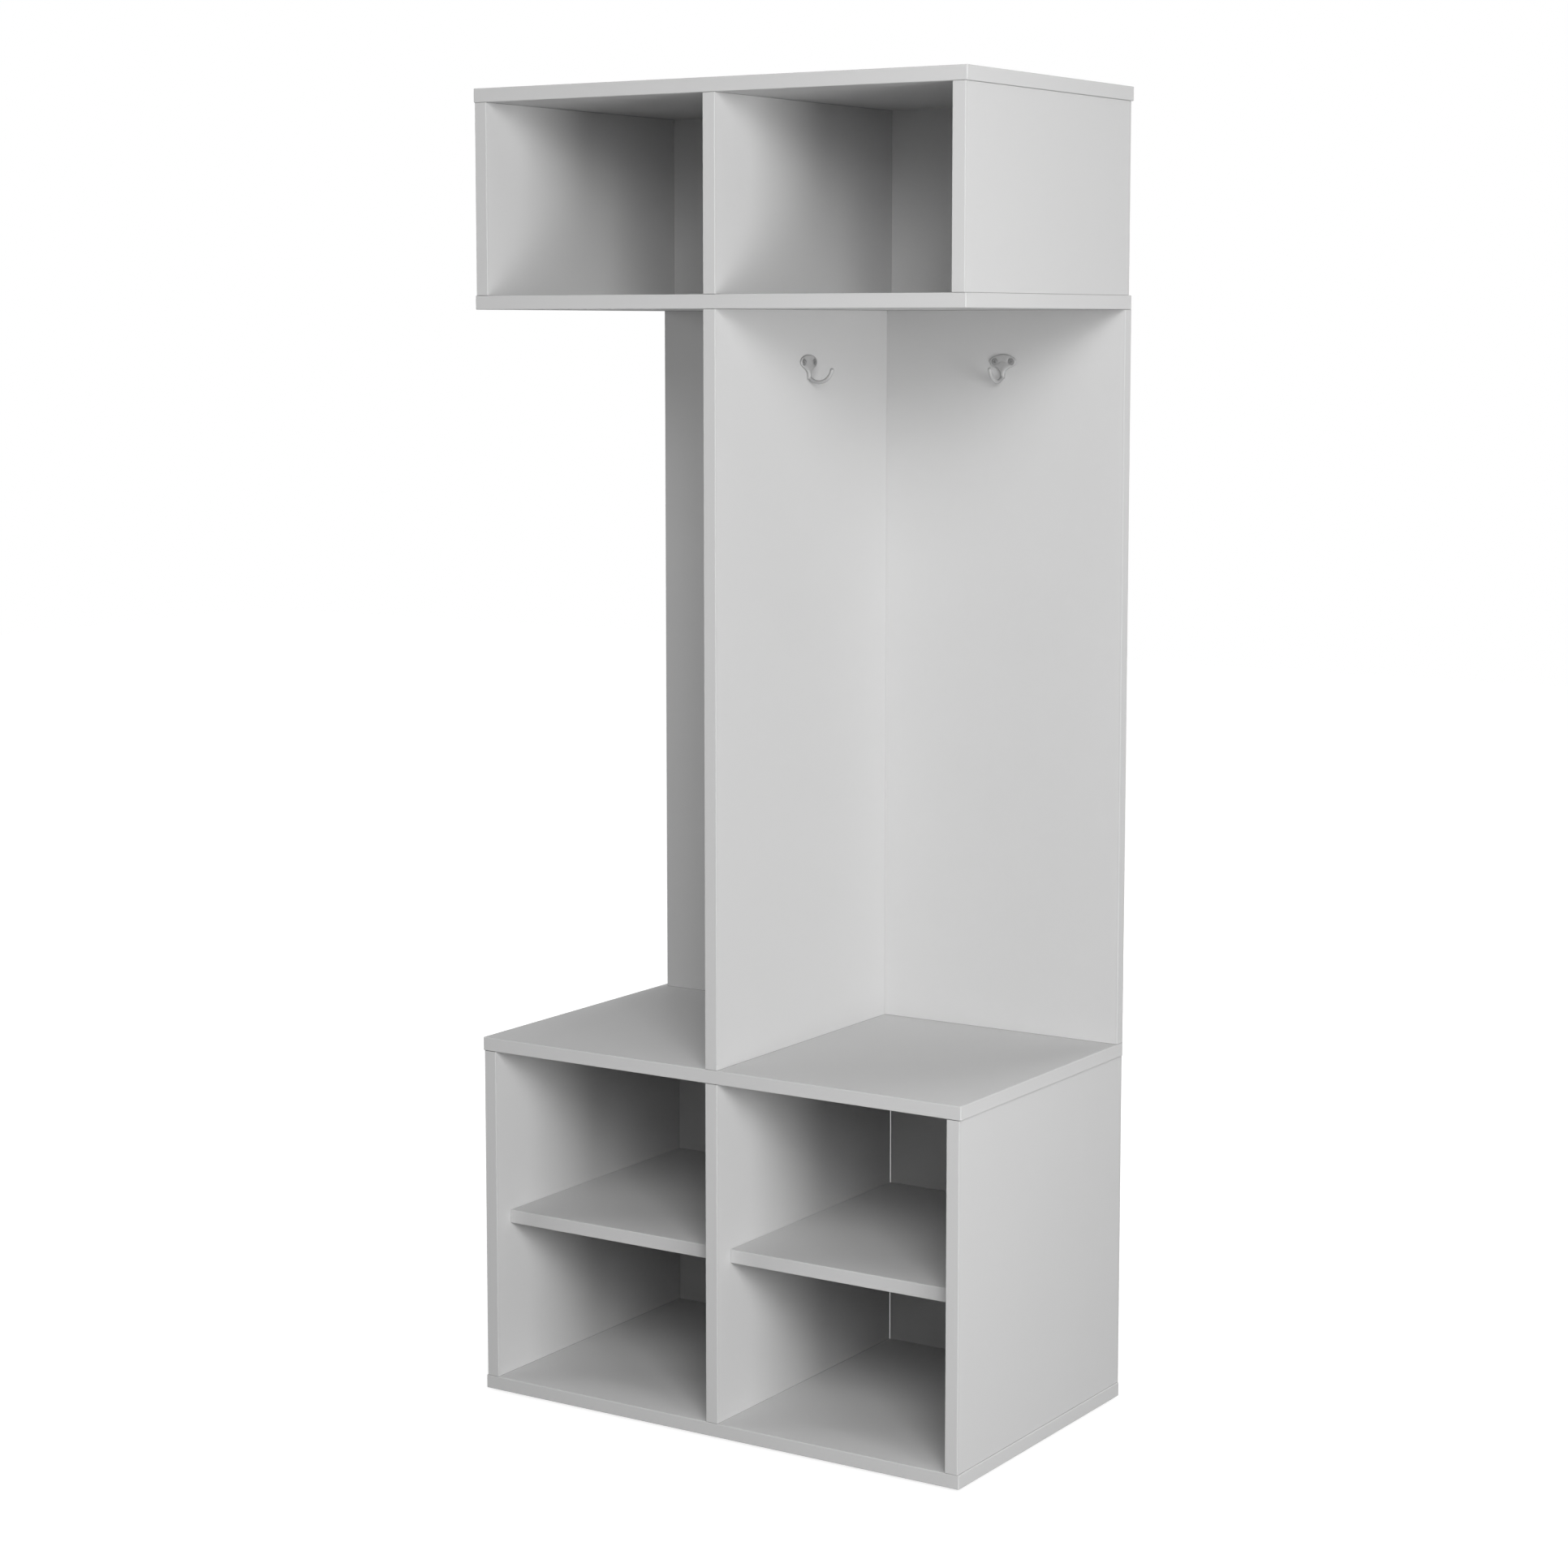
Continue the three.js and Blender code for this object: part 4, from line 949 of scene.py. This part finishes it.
# %% Joint screws
joint_head_radius, joint_head_thick, joint_shank_radius, joint_length = 5.0, 4.0, 3.5, 50.0
joint_chamfer, joint_bevel, socket_rings = 0.1, 0.5, 22
joint_screw = [(0.6, -joint_length), (1.5, 0.6 - joint_length), (joint_shank_radius, 5 - joint_length),
               (joint_shank_radius, -joint_head_thick),
               (joint_head_radius - joint_chamfer, -joint_head_thick),
               (joint_head_radius, joint_chamfer - joint_head_thick),
               (joint_head_radius, -joint_bevel), (4.55, 0)]
joint_turns = {"top": (-90, "X"), "base": (90, "X"), "coat": (180, "Z")}
joint_screws = sorted(name for name in nodes if "_screw_" in name and "hook" not in name)
for index, name in enumerate(joint_screws):
    low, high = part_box(name)
    kind = name.split("_")[0]
    seat = (low + high) / 2
    if kind == "top":
        seat.z = high.z
    elif kind == "base":
        seat.z = low.z
    else:
        seat.y = high.y
    degrees, around_axis = joint_turns[kind]
    twist = twists[index % len(twists)]
    points, faces = turned_screw(joint_screw, hexagon_recess, twist, head_rings=socket_rings)
    piece = add_piece(name + "_turned", points, faces, bright_zinc)
    spin = Matrix.Rotation(math.radians(degrees), 4, around_axis)
    piece.data.transform(Matrix.Translation(seat) @ spin @ Matrix.Scale(mm, 4))
    ride_in_place(piece, name, "cabinet")
print("joint screws", len(joint_screws))

# %% [markdown]
# ## Pins, glides and nails
#
# A shelf lies on four metal pins, and the base stands on six glides of dark moulded plastic,
# which keep it off a damp floor. Both are small, plain and hidden, so they keep their solid
# shape and only get a finish. The plastic is the pearl grain once more, finer and darker.

# %% Shelf pins and glides
plastic_dark, plastic_pale, plastic_rough, plastic_rough_drift = 0.16, 0.21, 0.4, 0.2
plastic_grain_size, plastic_cloud_size, plastic_relief = 0.0005, 0.01, 0.00003

moulded, tree, shader, place = new_finish("moulded_plastic", Specular_IOR_Level=0.5)
pearl = use_group(tree, grain, Place=place, Grain_Size=plastic_grain_size,
                  Cloud_Size=plastic_cloud_size)
plastic = blend_colour(tree, pearl["Cloud"], grey(plastic_dark), grey(plastic_pale))
feed(tree, shader.inputs["Base Color"], plastic)
feed(tree, shader.inputs["Roughness"],
     sum_up(tree, "MULTIPLY_ADD", pearl["Cloud"], plastic_rough_drift, plastic_rough))
add_relief(tree, shader, pearl["Height"], plastic_relief)

for start, finish in (("shelf_pin", bright_zinc), ("glide", moulded)):
    found = [node for name, node in nodes.items() if name.startswith(start)]
    for node in found:
        node.material_slots[0].material = finish
    print(start, len(found))

# %% [markdown]
# The thin backs are nailed: a row of small round heads along every board that a back lies
# on. A nail head is a low dome, and since all of them are alike, one ring formula is added
# to a whole array of places. One mesh for each back holds all its heads, because an object
# for every nail would only make a long list of pieces.

# %% Nail heads
nail_radius, nail_crown = 0.0024, 0.0003


def nail_heads(places, around=20):
    """Low domes at an array of places: radius shrinks with the cosine, height grows with the sine."""
    rise = np.radians([-25, 0, 25, 50, 75])
    angle = np.linspace(0, 2 * np.pi, around, endpoint=False)
    ring = np.stack([np.outer(np.cos(rise), np.cos(angle)) * nail_radius,
                     np.repeat(np.sin(rise)[:, None] * nail_crown, around, axis=1),
                     np.outer(np.cos(rise), np.sin(angle)) * nail_radius], axis=-1)[:, ::-1]
    points, faces = rings_to_shell(ring)
    every = (places[:, None] + points).reshape(-1, 3)
    starts = np.arange(len(places)) * len(points)
    return every, [[corner + start for corner in face] for start in starts.tolist() for face in faces]


print("a nail head", len(nail_heads(np.zeros((1, 3)))[1]), "faces")

# %% [markdown]
# Where the heads go follows the boards behind them. Every back is nailed along the upright
# boards that it covers. The lower two are also nailed along the base and the seat, which
# they overlap by nine millimetres, so those nails sit half of that from the edge. The right
# one ends at a slit beside the divider, and its level rows start a little way in from there.

# %% Nails of the thin backs
nail_gap, nail_inset, slit_margin = 0.09, 0.0045, 0.02


def spread(first, last):
    """Even steps from the first place to the last, about one nail gap long."""
    return np.linspace(first, last, max(2, round((last - first) / nail_gap) + 1))


def nail_places(name, uprights, level_start=None):
    """Places on one thin back: up its upright lines, and along its foot and head from a start."""
    low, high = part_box(name)
    foot, head = low.z + nail_inset, high.z - nail_inset
    places = [(x, high.y, z) for x in uprights for z in spread(foot, head)]
    if level_start is not None:
        between = [x for x in spread(level_start, uprights[-1]) if x not in uprights]
        places += [(x, high.y, z) for z in (foot, head) for x in between]
    return np.array(places)


low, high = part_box("lower_right_side")
side_x = (low.x + high.x) / 2
slit_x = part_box("lower_back_right")[0].x
nail_plan = {
    "lower_back_left": nail_places("lower_back_left", (-side_x, -nail_inset), -side_x),
    "lower_back_right": nail_places("lower_back_right", (side_x,), slit_x + slit_margin),
    "upper_back": nail_places("upper_back", (-side_x, 0.0, side_x)),
}
for name, places in nail_plan.items():
    points, faces = nail_heads(places)
    nails = add_piece("nails_" + name, points, faces, bright_zinc)
    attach(nails, "cabinet")
    print(nails.name, len(places))

# %% [markdown]
# ## Sizes, and the end
#
# The dressed object has to keep the size of the solid one. The size of its box is printed at
# the end.

# %% Print the size
low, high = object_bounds()
print("visual size", [round(side, 4) for side in high - low])
